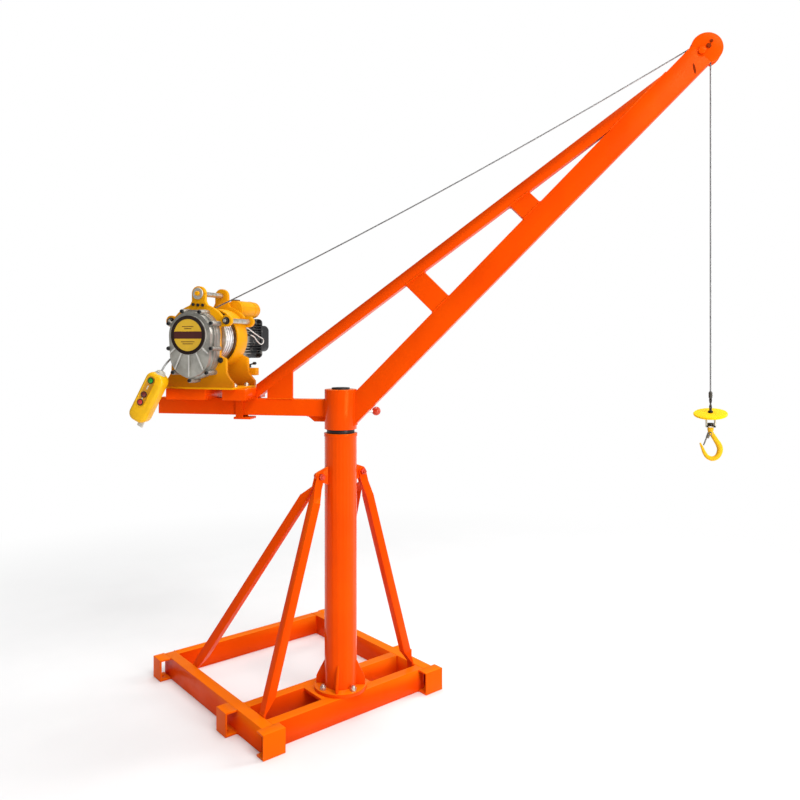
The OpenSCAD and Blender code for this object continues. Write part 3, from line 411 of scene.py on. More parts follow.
def bolt_finish(name, plate, painted, limit):
    """Plated bolts up to a height, painted over above it."""
    s = Shader(name, 0.36)
    above = s.ramp(s.axis(Matrix(), "Z"), limit, limit + 0.01)
    cloud = s.ramp(s.noise(60, 4), 0.35, 0.7)
    bare = s.mix(cloud, plate, DULL_PLATE)
    coat = s.mix(cloud, painted, darker(painted, 0.6))
    s.colour(s.mix(above, bare, coat))
    s.put(s.ramp(above, 0, 1, 0.9, 0.0), s.bsdf.inputs["Metallic"])
    s.grain(1400, 0.08, 0.0002)
    return s.material


def lock_finish(name, knob, rod, centre, radius):
    """Red ball knob on a plated screw: the red ends at the ball's skin."""
    s = Shader(name, 0.3)
    gap = s.nodes.new("ShaderNodeVectorMath")
    gap.operation = "DISTANCE"
    s.links.new(s.coords, gap.inputs[0])
    gap.inputs[1].default_value = centre
    outside = s.ramp(gap.outputs["Value"], radius, radius + 0.001)
    cloud = s.ramp(s.noise(60, 3), 0.3, 0.7, 0.0, 0.3)
    s.colour(s.mix(outside, s.mix(cloud, knob, darker(knob, 0.6)), rod))
    s.put(s.ramp(outside, 0, 1, 0.0, 0.85), s.bsdf.inputs["Metallic"])
    s.grain(900, 0.08, 0.0003)
    return s.material


# Height of the painted shade at the foot of the winch brackets
BRACKET_SHADE_H = 0.12
# Depth behind the front of the gear cover of the ribs, which get a painted highlight
RIB_DEPTH = 0.004
# Pitch of the bands of grease along the coiled rope, about three turns
COIL_BAND = 0.0153
# Length of the motor's bare flange
BARE_L = 0.074
# Height below which the mast's bolts are plated and not painted
PLATED_H = 0.4
FINISHES = {}


def finish(name):
    """The crane's materials, each made once."""
    if name in FINISHES:
        return FINISHES[name]
    c = colours()
    makers = {
        "orange": lambda: gloss_paint("orange_paint", c.orange, c.orange_deep, 0.27, c.orange_lit_top),
        "base": lambda: gloss_paint("base_paint", c.orange, c.orange_deep, 0.35, c.orange_lit_top, 0.05),
        "feet": lambda: gloss_paint("foot_paint", c.orange_foot, c.orange, 0.35, c.orange_lit_top, 0.05),
        "mast": lambda: gloss_paint("mast_paint", c.orange, c.orange_deep, 0.17, c.orange_lit_top, 0.3),
        "yellow": lambda: gloss_paint("winch_paint", c.yellow, c.yellow_deep, 0.34),
        "bracket": lambda: gloss_paint(
            "bracket_paint_shaded", c.yellow, c.yellow_deep, 0.34, painted_shade=(FEET_Z, BRACKET_SHADE_H, c.bracket_painted_shade)
        ),
        "hook": lambda: gloss_paint("hook_paint", c.hook, c.yellow, 0.4),
        "disc": lambda: gloss_paint("disc_paint", c.disc, c.hook, 0.4),
        "rust_red": lambda: gloss_paint("dark_paint", c.rust_red, darker(c.rust_red, 0.5), 0.45),
        "bolts": lambda: bolt_finish("mast_bolts", c.zinc, c.orange_deep, PLATED_H),
        "ferrule": lambda: plated("ferrule_steel", c.ferrule, 0.45),
        "latch": lambda: plated("latch_steel", c.latch, 0.42),
        "pendant_deep": lambda: moulded("pendant_slot", c.pendant_deep),
        "casting": lambda: casting("cast_aluminium", c.casting),
        "cover": lambda: casting("cover_casting_rib_highlight", c.casting, COVER[0].y + RIB_DEPTH),
        "zinc": lambda: plated("zinc_plate", c.zinc),
        "rope": lambda: wire_rope("wire_rope", c.rope),
        # The coil's colour is far lighter than the rope's: painted highlight on the rope on the drum
        "coil": lambda: wire_rope("coiled_rope_lit", c.coil, COIL_BAND),
        "black": lambda: black_enamel("black_enamel", c.black),
        "cowl": lambda: moulded("black_cowl", c.black, 0.45, 900, 0.3),
        "motor": lambda: motor_shell("motor_shell", c.black, c.casting, MOTOR[0].y + BARE_L),
        "pendant": lambda: moulded("pendant_case", c.pendant, 0.32, 900, 0.25),
        "label_ring": lambda: moulded("label_ring", c.label_ring, 0.42, 400, 0.25),
        "label_band": lambda: moulded("label_band", c.label_band, 0.4, 400, 0.3),
        "label": lambda: moulded("label_field", c.label, 0.35, 400),
        "green": lambda: moulded("green_button", c.green, 0.25),
        "red": lambda: moulded("red_button", c.red, 0.25),
        "maroon": lambda: moulded("maroon_button", c.maroon, 0.25),
        "wire": lambda: moulded("white_sleeve", c.wire, 0.4),
        "hood": lambda: moulded("hood_rubber", c.hood, 0.4),
        "lead": lambda: moulded("grey_rubber", c.lead, 0.5),
    }
    FINISHES[name] = makers[name]()
    return FINISHES[name]


# Shapes


def along(point, direction, spin=0.0):
    """Place at a point with z along a direction."""
    turn = Vector(direction).to_track_quat("Z", "Y").to_matrix().to_4x4()
    return Matrix.Translation(Vector(point)) @ turn @ Matrix.Rotation(spin, 4, "Z")


def lathe(bm, profile, place, steps=32):
    """Spins a profile of (radius, height) points about the z axis of place."""
    verts = [bm.verts.new(place @ Vector((r, 0, z))) for r, z in profile]
    edges = [bm.edges.new(pair) for pair in zip(verts, verts[1:])]
    bmesh.ops.spin(
        bm,
        geom=verts + edges,
        cent=place.translation,
        axis=place.to_3x3() @ UP,
        angle=math.tau,
        steps=steps,
        use_merge=True,
    )


def break_edges(bm, edges, width, segments=1):
    """Bevels edges and gives back what the bevel made."""
    return bmesh.ops.bevel(
        bm, geom=list(edges), offset=width, affect="EDGES", segments=segments, profile=0.5, material=-1
    )


def edges_of(verts):
    return {e for v in verts for e in v.link_edges}


def tint_new(bm, old, index):
    """Gives the faces made since old was listed a material's index."""
    for face in set(bm.faces) - old:
        face.material_index = index


def prism(bm, sides, radius, height, place, chamfer=0.0):
    """Prism that stands on place, with its edges broken."""
    made = bmesh.ops.create_cone(
        bm,
        cap_ends=True,
        segments=sides,
        radius1=radius,
        radius2=radius,
        depth=height,
        matrix=place @ Matrix.Translation((0, 0, height / 2)),
    )["verts"]
    if chamfer:
        break_edges(bm, edges_of(made), chamfer)


def block(bm, low, high, place, edge=0.0, segments=2):
    """Box between two corners in the frame of place, with rounded edges."""
    low, high = Vector(low), Vector(high)
    span = high - low
    shape = place @ Matrix.Translation((low + high) / 2) @ Matrix.Diagonal((*span, 1))
    made = bmesh.ops.create_cube(bm, size=1, matrix=shape)["verts"]
    if edge:
        break_edges(bm, edges_of(made), edge, segments)


def washer(bm, place, outer, inner, thick):
    lip = 0.15 * thick
    profile = [(inner, 0), (outer, 0), (outer, thick - lip), (outer - lip, thick), (inner, thick)]
    lathe(bm, [*profile, (inner, 0)], place, 24)


def hex_nut(bm, place, across, height):
    prism(bm, 6, across / math.sqrt(3), height, place, 0.06 * across)


def thread(bm, place, diameter, length, pitch):
    """Threaded rod as a chain of ridges, closed at both ends."""
    crest, root = diameter / 2, diameter / 2 - 0.55 * pitch
    count = int(length / pitch)
    profile = [(0, 0), (root, 0)]
    for i in range(count):
        profile += [(crest, (i + 0.4) * pitch), (crest, (i + 0.55) * pitch), (root, (i + 0.95) * pitch)]
    profile += [(root, length), (0, length)]
    lathe(bm, profile, place, 20)


def socket_screw(bm, place, head, height):
    """Socket head with its recess."""
    r, lip, socket = head / 2, 0.08 * head, 0.27 * head
    profile = [(0, 0.45 * height), (socket, 0.45 * height), (socket, height)]
    profile += [(r - lip, height), (r, height - lip), (r, 0)]
    lathe(bm, profile, place, 20)


def bolt(bm, place, diameter, stick_out):
    """Washer, nut and the end of a bolt."""
    nut_h = 0.8 * diameter
    flat = 0.18 * diameter
    washer(bm, place, 1.08 * diameter, 0.5 * diameter, flat)
    hex_nut(bm, place @ Matrix.Translation((0, 0, flat)), 1.6 * diameter, nut_h)
    thread(bm, place @ Matrix.Translation((0, 0, flat + nut_h)), diameter, stick_out, 0.15 * diameter)


def piece(name, bm, body, materials, place=None, sharp=35):
    """Turns a bmesh into a piece that rides on a body."""
    if place:
        bmesh.ops.transform(bm, matrix=place, verts=bm.verts)
    bmesh.ops.remove_doubles(bm, verts=bm.verts, dist=1e-6)
    bmesh.ops.recalc_face_normals(bm, faces=bm.faces)
    mesh = bpy.data.meshes.new(name)
    bm.to_mesh(mesh)
    bm.free()
    for material in materials:
        mesh.materials.append(material)
    mesh.shade_smooth()
    mesh.set_sharp_from_angle(angle=math.radians(sharp))
    obj = bpy.data.objects.new(name, mesh)
    bpy.context.scene.collection.objects.link(obj)
    if body:
        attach(obj, body)
    return obj


def winch_piece(name, bm, look):
    """Piece in the winch's frame that rides on the boom."""
    return piece(name, bm, "boom", [finish(look)], WINCH)


def line_curve(name, lines, radius, resolution=2):
    """Curve object of round section through lists of points."""
    data = bpy.data.curves.new(name, "CURVE")
    data.dimensions = "3D"
    data.bevel_depth = radius
    data.bevel_resolution = resolution
    data.use_fill_caps = True
    for points in lines:
        spline = data.splines.new("POLY")
        spline.points.add(len(points) - 1)
        spline.points.foreach_set("co", [x for p in points for x in (*p, 1.0)])
        spline.use_smooth = True
    obj = bpy.data.objects.new(name, data)
    bpy.context.scene.collection.objects.link(obj)
    return obj


def curve_bmesh(obj):
    """bmesh of a curve object, which is taken away."""
    bpy.context.view_layer.update()
    mesh = bpy.data.meshes.new_from_object(obj.evaluated_get(bpy.context.evaluated_depsgraph_get()))
    bm = bmesh.new()
    bm.from_mesh(mesh)
    curve = obj.data
    bpy.data.objects.remove(obj)
    bpy.data.curves.remove(curve)
    bpy.data.meshes.remove(mesh)
    return bm


def line_mesh(lines, radius, resolution=1):
    """bmesh of round bars through lists of points."""
    return curve_bmesh(line_curve("bars", lines, radius, resolution))


def smooth_line(points, steps):
    """Points of a smooth curve through given points."""
    out = []
    for i in range(len(points) - 1):
        a, b, c, d = points[max(i - 1, 0)], points[i], points[i + 1], points[min(i + 2, len(points) - 1)]
        out += interpolate_bezier(b, b + (c - a) / 6, c - (d - b) / 6, c, steps + 1)[:-1]
    return [*out, points[-1]]


def laid_strands(path, diameter, lay, strands):
    """Strand lines that wind round a path, as lists of points."""
    strand_r = diameter / (2 * (1 + 1 / math.sin(math.pi / strands))) * 2
    winding_r = diameter / 2 - strand_r / 2
    walked = [0.0]
    for a, b in zip(path, path[1:]):
        walked.append(walked[-1] + (b - a).length)
    lines = [[] for _ in range(strands)]
    for i, point in enumerate(path):
        tangent = (path[min(i + 1, len(path) - 1)] - path[max(i - 1, 0)]).normalized()
        side = tangent.cross(Vector((0.1, 1, 0.05))).normalized()
        other = tangent.cross(side)
        for k in range(strands):
            a = math.tau * (walked[i] / lay + k / strands)
            lines[k].append(point + winding_r * (math.cos(a) * side + math.sin(a) * other))
    return lines, strand_r / 2


def dense(points, step):
    """Points of a polyline, spaced about a step apart."""
    out = [points[0]]
    for a, b in zip(points, points[1:]):
        n = max(1, round((b - a).length / step))
        out += [a.lerp(b, (i + 1) / n) for i in range(n)]
    return out


# The CAD nodes' finishes

NODE_FINISH = {
    "base": [
        "left_rail", "right_rail", "front_beam", "middle_beam", "back_beam", "front_struts", "back_struts",
    ],
    "feet": ["base_feet"],
    "mast": ["mast", "slew_collar"],
    "casting": ["gear_housing"],
    "cover": ["gear_cover"],
    "yellow": ["winch_plate", "capacitor_box", "limit_switch"],
    "bracket": ["front_bracket", "rear_bracket"],
    "hook": ["hook"],
    "disc": ["limiter_disc"],
    "bolts": ["mast_bolts"],
    "latch": ["hook_latch"],
    "zinc": ["tie_rods", "sheave", "drum", "hook_yoke"],
    "rope": ["rope_winding", "rope_run", "rope_fall"],
    "black": ["rope_end", "mast_head"],
    "motor": ["motor"],
    "cowl": ["motor_cap"],
    "pendant": ["pendant"],
    "red": ["pendant_buttons"],
    "lead": ["pendant_lead"],
}
BROAD_EDGES = [
    "left_rail", "right_rail", "front_beam", "middle_beam", "back_beam", "lower_chord", "upper_chord",
    "back_arm", "boom_webs", "front_struts", "back_struts",
]
# Nodes whose flat faces are joined before their edges are rounded
NOTCHED = ["lower_chord"]
NO_EDGES = ["rope_winding", "rope_run", "rope_fall", "pendant_lead"]
KNOB_R = 0.0166


class CRANE_OT_finishes(bpy.types.Operator):
    """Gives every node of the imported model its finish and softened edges"""

    bl_idname = "crane.finishes"
    bl_label = "Finish the Frame"

    def execute(self, context):
        by_node = {node: name for name, nodes in NODE_FINISH.items() for node in nodes}
        for node, obj in NODES.items():
            if node == "slew_lock":
                material = self.lock()
            else:
                material = finish(by_node.get(node, "orange"))
            obj.data.materials.clear()
            obj.data.materials.append(material)
            obj.data.shade_smooth()
            if node not in NO_EDGES:
                self.soften(obj, sizes().edge if node in BROAD_EDGES else sizes().small_edge)
        return {"FINISHED"}

    def lock(self):
        points = [v.co for v in NODES["slew_lock"].data.vertices]
        reach = max(points, key=lambda p: (p - UP * p.z).length)
        flat = Vector((reach.x, reach.y, 0))
        centre = flat - flat.normalized() * KNOB_R
        centre.z = reach.z
        return lock_finish("slew_lock", colours().knob, colours().zinc, centre, KNOB_R)

    def soften(self, obj, width):
        weld = obj.modifiers.new("Weld", "WELD")
        weld.merge_threshold = 1e-5
        if obj.name in NOTCHED:
            flats = obj.modifiers.new("Flats", "DECIMATE")
            flats.decimate_type = "DISSOLVE"
            flats.angle_limit = math.radians(1)
        bevel = obj.modifiers.new("Edges", "BEVEL")
        bevel.width = width
        bevel.segments = 2
        bevel.limit_method = "ANGLE"
        bevel.angle_limit = math.radians(40)
        bevel.harden_normals = True


# The stage

VIEW_POINT = Vector((-1.5603, -2.1806, 1.3009))
VIEW_ALONG = Vector((0.6439, 0.7651, 0.0))
VIEW_LENS = 33.93
VIEW_SHIFT = -0.0726
# Distances from the mast between which the floor fades to white
FADE_FROM, FADE_TO = 1.3, 3.4
FLOOR_R = 40
# How far the floor lies under the feet
FLOOR_GAP = 0.0005
WORLD_STRENGTH = 0.30
LAMP_AIM = Vector((0.2, 0.1, 1.0))
# Name, place, width, height and watts of each lamp
LAMPS = [
    ("key", (-0.6, -3.7, 5.4), 2.4, 2.4, 150),
    ("side", (4.2, -1.6, 3.0), 1.4, 3.2, 92),
    ("strip", (0.2, -4.2, 1.5), 1.6, 3.0, 100),
    ("top", (0.4, 0.8, 5.6), 3.6, 3.6, 185),
]


class CRANE_OT_stage(bpy.types.Operator):
    """Pale floor, soft studio light and the camera"""

    bl_idname = "crane.stage"
    bl_label = "Studio"

    def execute(self, context):
        scene = context.scene
        scene.view_settings.view_transform = "Standard"
        self.camera(scene)
        self.floor()
        self.world(scene)
        for lamp in LAMPS:
            self.lamp(*lamp)
        return {"FINISHED"}

    def camera(self, scene):
        data = bpy.data.cameras.new("camera")
        data.lens = VIEW_LENS
        data.sensor_width = 36
        data.shift_y = VIEW_SHIFT
        obj = bpy.data.objects.new("camera", data)
        obj.location = VIEW_POINT
        obj.rotation_euler = VIEW_ALONG.to_track_quat("-Z", "Y").to_euler()
        scene.collection.objects.link(obj)
        scene.camera = obj

    def floor(self):
        bm = bmesh.new()
        bmesh.ops.create_circle(bm, cap_ends=True, segments=96, radius=FLOOR_R)
        mesh = bpy.data.meshes.new("floor")
        bm.to_mesh(mesh)
        bm.free()
        obj = bpy.data.objects.new("floor", mesh)
        obj.location.z = -FLOOR_GAP
        bpy.context.scene.collection.objects.link(obj)
        mesh.materials.append(self.floor_finish())

    def floor_finish(self):
        """Pale floor that fades to white away from the crane, for the camera and in reflections."""
        s = Shader("studio_floor", 0.85)
        s.colour(s.mix(s.ramp(s.noise(2.5, 3), 0.3, 0.7), (0.86, 0.86, 0.86), (0.84, 0.84, 0.84)))
        reach = s.nodes.new("ShaderNodeVectorMath")
        reach.operation = "LENGTH"
        s.links.new(s.coords, reach.inputs[0])
        far = s.ramp(reach.outputs["Value"], FADE_FROM, FADE_TO)
        glow = s.nodes.new("ShaderNodeEmission")
        path = s.nodes.new("ShaderNodeLightPath")
        seen = s.math("MAXIMUM", path.outputs["Is Camera Ray"], path.outputs["Is Glossy Ray"])
        blend = s.nodes.new("ShaderNodeMixShader")
        s.links.new(s.math("MULTIPLY", far, seen), blend.inputs["Fac"])
        s.links.new(s.bsdf.outputs["BSDF"], blend.inputs[1])
        s.links.new(glow.outputs["Emission"], blend.inputs[2])
        s.links.new(blend.outputs["Shader"], s.nodes["Material Output"].inputs["Surface"])
        return s.material

    def world(self, scene):
        world = bpy.data.worlds.new("studio")
        scene.world = world
        world.use_nodes = True
        tree = world.node_tree
        light = tree.nodes["Background"]
        light.inputs["Color"].default_value = (1, 1, 1, 1)
        light.inputs["Strength"].default_value = WORLD_STRENGTH
        seen = tree.nodes.new("ShaderNodeBackground")
        seen.inputs["Color"].default_value = (1, 1, 1, 1)
        path = tree.nodes.new("ShaderNodeLightPath")
        blend = tree.nodes.new("ShaderNodeMixShader")
        tree.links.new(path.outputs["Is Camera Ray"], blend.inputs["Fac"])
        tree.links.new(light.outputs["Background"], blend.inputs[1])
        tree.links.new(seen.outputs["Background"], blend.inputs[2])
        tree.links.new(blend.outputs["Shader"], tree.nodes["World Output"].inputs["Surface"])

    def lamp(self, name, place, width, height, watts):
        data = bpy.data.lights.new(name, "AREA")
        data.shape = "RECTANGLE"
        data.size = width
        data.size_y = height
        data.energy = watts
        obj = bpy.data.objects.new(name, data)
        obj.location = place
        aim = LAMP_AIM - Vector(place)
        obj.rotation_euler = aim.to_track_quat("-Z", "Y").to_euler()
        bpy.context.scene.collection.objects.link(obj)


# The gear case

# Centres of the cover's screw bosses, in millimetres from the drum's axis
BOSSES = [
    (-30, 92), (38, 89), (83, 50), (83, -36), (66, -119), (0, -146), (-66, -119), (-83, -36), (-83, 50),
]
# Depth of the screws' seats behind the cover's front
SEAT_DEPTH = 0.011
SCREW_H = 0.007
# Height of the label's centre over the drum's axis
LABEL_Z = 0.010
# Radius of the label and of its field, and half the height of its band
LABEL_R, FIELD_R, BAND_H = 0.067, 0.055, 0.0125
# Height of the label's field over its seat
FIELD_Z = 0.0009
# Height and half length of the label's plain strokes, and half their width
STROKES = [(0.029, 0.022), (0.022, 0.014), (-0.023, 0.026), (-0.030, 0.020)]
STROKE_W = 0.0011


class CRANE_OT_gear_case(bpy.types.Operator):
    """Cover screws and the round unlettered label of the gear case"""

    bl_idname = "crane.gear_case"
    bl_label = "Gear Case"

    def execute(self, context):
        bm = bmesh.new()
        for x, z in BOSSES:
            seat = along((x * MM, COVER[0].y + SEAT_DEPTH, z * MM), (0, -1, 0))
            socket_screw(bm, seat, sizes().cover_screw, SCREW_H)
        winch_piece("cover_screws", bm, "black")
        self.label()
        return {"FINISHED"}

    def label(self):
        bm = bmesh.new()
        ring = [(FIELD_R, 0), (LABEL_R, 0), (LABEL_R, 0.0012), (LABEL_R - 0.0016, 0.0026)]
        ring += [(FIELD_R + 0.0016, 0.0026), (FIELD_R, 0.0016), (FIELD_R, 0)]
        lathe(bm, ring, Matrix(), 72)
        for face in bm.faces:
            face.material_index = 1
        bmesh.ops.create_circle(
            bm, cap_ends=True, segments=72, radius=FIELD_R + 0.0008, matrix=Matrix.Translation(UP * FIELD_Z)
        )
        for height in (-BAND_H, BAND_H):
            flat = [x for x in (*bm.verts, *bm.edges, *bm.faces) if self.in_field(x)]
            bmesh.ops.bisect_plane(bm, geom=flat, plane_co=(0, height, 0), plane_no=(0, 1, 0))
        for face in bm.faces:
            if self.in_field(face) and abs(face.calc_center_median().y) < BAND_H:
                face.material_index = 2
        old = set(bm.faces)
        for height, half in STROKES:
            block(bm, (-half, height - STROKE_W, 0.0008), (half, height + STROKE_W, 0.0013), Matrix())
        tint_new(bm, old, 2)
        place = WINCH @ along((0, COVER[0].y + 0.0002, LABEL_Z), (0, -1, 0))
        looks = [finish(name) for name in ("label", "label_ring", "label_band")]
        piece("cover_label", bm, "boom", looks, place)

    def in_field(self, item):
        """Tells whether a vertex, edge or face belongs to the flat field."""
        verts = [item] if isinstance(item, bmesh.types.BMVert) else item.verts
        return all(abs(v.co.z - FIELD_Z) < 1e-6 for v in verts)


# Brackets and tie rods

# Centres of tie rods and lug bolts, in millimetres from the drum's axis
TIE_POINTS = [(0, 156), (-110, 60), (110, 60)]
LUG_BOLTS = [(-19, 118), (0, 116), (19, 115)]
LUG_NUT_W, LUG_NUT_H = 0.010, 0.006
# x and z of the single nut low on the front bracket, and its thread
LOW_NUT = (0.088, -0.077)
LOW_NUT_D = 0.009
# Thickness of the nuts' washers
NUT_WASHER = 0.0018
PLATE_BOLT_X = (-0.118, 0.118)
PLATE_BOLT_Y = (-0.080, 0.004)
PLATE_BOLT_D = 0.009
# Length of the bolts over their nuts
BOLT_END = 0.004


class CRANE_OT_brackets(bpy.types.Operator):
    """Threaded tie rods, nuts, washers and bolts of the winch brackets"""

    bl_idname = "crane.brackets"
    bl_label = "Winch Brackets"

    def execute(self, context):
        front = FRONT_BRACKET[0].y
        inner = FRONT_BRACKET[1].y
        rear = REAR_BRACKET[1].y
        rear_inner = rear - (inner - front)
        rods = bmesh.new()
        nuts = bmesh.new()
        for x, z in TIE_POINTS:
            start = along((x * MM, RODS[0].y, z * MM), (0, 1, 0))
            thread(rods, start, sizes().rod, RODS[1].y - RODS[0].y, sizes().thread_pitch)
            spacer = along((x * MM, inner, z * MM), (0, 1, 0))
            prism(rods, 28, sizes().spacer / 2, rear_inner - inner, spacer, 0.001)
            faces = [(rear, 1), (front, -1)] if x else [(rear, 1)]
            for y, way in faces:
                self.nut(nuts, along((x * MM, y, z * MM), (0, way, 0), 0.3 * way + z), sizes().rod)
        for x, z in LUG_BOLTS:
            hex_nut(nuts, along((x * MM, front, z * MM), (0, -1, 0), x), LUG_NUT_W, LUG_NUT_H)
        obj = winch_piece("threaded_rods", rods, "zinc")
        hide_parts("tie_rods")
        self.nut(nuts, along((LOW_NUT[0], front, LOW_NUT[1]), (0, -1, 0)), LOW_NUT_D)
        winch_piece("rod_nuts", nuts, "black")
        self.lug(front)
        self.plate_bolts()
        return {"FINISHED"}

    def nut(self, bm, place, diameter):
        washer(bm, place, 1.1 * diameter, 0.5 * diameter, NUT_WASHER)
        hex_nut(bm, place @ Matrix.Translation((0, 0, NUT_WASHER)), 1.6 * diameter, 0.75 * diameter)

    def lug(self, front):
        x, z = TIE_POINTS[0]
        eye = along((x * MM, front, z * MM), (0, -1, 0))
        bm = bmesh.new()
        washer(bm, eye, 0.0205, 0.0085, 0.005)
        winch_piece("lug_washer", bm, "zinc")
        bm = bmesh.new()
        lathe(bm, [(0, 0.0132), (0.0065, 0.0132), (0.0082, 0.0115), (0.0082, 0)], eye, 24)
        winch_piece("lug_cap", bm, "yellow")

    def plate_bolts(self):
        bm = bmesh.new()
        floor = FRONT_BRACKET[0].z
        for x in PLATE_BOLT_X:
            for y in PLATE_BOLT_Y:
                bolt(bm, along((x, y, floor), (0, 0, 1), x), PLATE_BOLT_D, BOLT_END)
        winch_piece("plate_bolts", bm, "zinc")


# Ropes


def ring_centres(node, place, gap=0.02):
    """Centres of the rings of a swept CAD node, in order along the x axis of place."""
    inverse = place.inverted()
    points = sorted({tuple(round(c, 6) for c in inverse @ v.co) for v in NODES[node].data.vertices})
    rings = [[points[0]]]
    for point in points[1:]:
        if point[0] - rings[-1][-1][0] > gap:
            rings.append([])
        rings[-1].append(point)
    return [sum((Vector(p) for p in ring), Vector()) / len(ring) for ring in rings]


class CRANE_OT_ropes(bpy.types.Operator):
    """Coil on the drum, run to the sheave and fall to the hook, laid from strands"""

    bl_idname = "crane.ropes"
    bl_label = "Ropes"

    def execute(self, context):
        self.coil()
        self.run()
        self.fall()
        return {"FINISHED"}

    def coil(self):
        low, high = WINDING
        half = sizes().rope / 2
        pitch = 2.04 * half
        turns = int((high.y - low.y - 2 * half) / pitch)
        per_turn = 56
        bm = bmesh.new()
        start = Matrix.Translation((high.z - half, low.y + half, 0))
        ring = bmesh.ops.create_circle(bm, segments=10, radius=half, matrix=start)["verts"]
        bmesh.ops.spin(
            bm,
            geom=ring + list(bm.edges),
            cent=(0, 0, 0),
            axis=(0, 1, 0),
            dvec=(0, pitch / per_turn, 0),
            angle=turns * math.tau,
            steps=turns * per_turn,
        )
        bmesh.ops.holes_fill(bm, edges=[e for e in bm.edges if e.is_boundary])
        under = high.z - 1.15 * half
        profile = [(0.03, 0), (under, 0), (under, high.y - low.y), (0.03, high.y - low.y), (0.03, 0)]
        lathe(bm, profile, along((0, low.y, 0), (0, 1, 0)), 56)
        obj = piece("rope_coil", bm, "drum", [finish("coil")], WINCH)
        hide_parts("rope_winding")

    def laid(self, path):
        lines, radius = laid_strands(path, sizes().rope, sizes().rope_lay, sizes().strands)
        return line_mesh(lines, radius)

    def run(self):
        path = ring_centres("rope_run", BOOM)
        centre = BOOM.inverted() @ Vector(JOINTS["sheave_spin"]["pos_m"])
        reach = path[-1] - centre
        start = math.atan2(reach.z, reach.x)
        bend = math.hypot(reach.x, reach.z)
        for i in range(1, 13):
            a = start * (1 - i / 12)
            path.append(centre + bend * Vector((math.cos(a), 0, math.sin(a))))
        bm = self.laid(dense(path, sizes().rope_lay / 10))
        obj = piece("rope_to_sheave", bm, "boom", [finish("rope")], BOOM, 80)
        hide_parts("rope_run")

    def fall(self):
        top = FALL_AXIS + UP * FALL[1].z
        foot = FALL_AXIS + UP * FALL[0].z
        bm = self.laid(dense([top, foot], sizes().rope_lay / 10))
        obj = piece("rope_to_hook", bm, None, [finish("rope")], None, 80)
        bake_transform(obj)
        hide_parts("rope_fall")


# The motor side

# Route of the limit wire, in millimetres in the winch's frame
WIRE_LOOP = [
    (86, 46, 42), (90, 66, 37), (88, 118, 20), (86, 168, 5), (86, 196, -3), (86, 194, -18), (86, 172, -22),
    (86, 146, -10), (82, 128, 6), (77, 112, 12), (71, 106, 13),
]
GRILLE_RINGS = (0.010, 0.018, 0.026, 0.034)
# The motor's screws, to both sides of its axis and over and under it
MOTOR_SCREW_X = (-0.059, 0.059)
MOTOR_SCREW_Z = (-0.066, 0.066)
# Shares of the capacitor's length at which its straps sit
STRAPS = (0.10, 0.70)
LEVER_TILT = math.radians(-14)


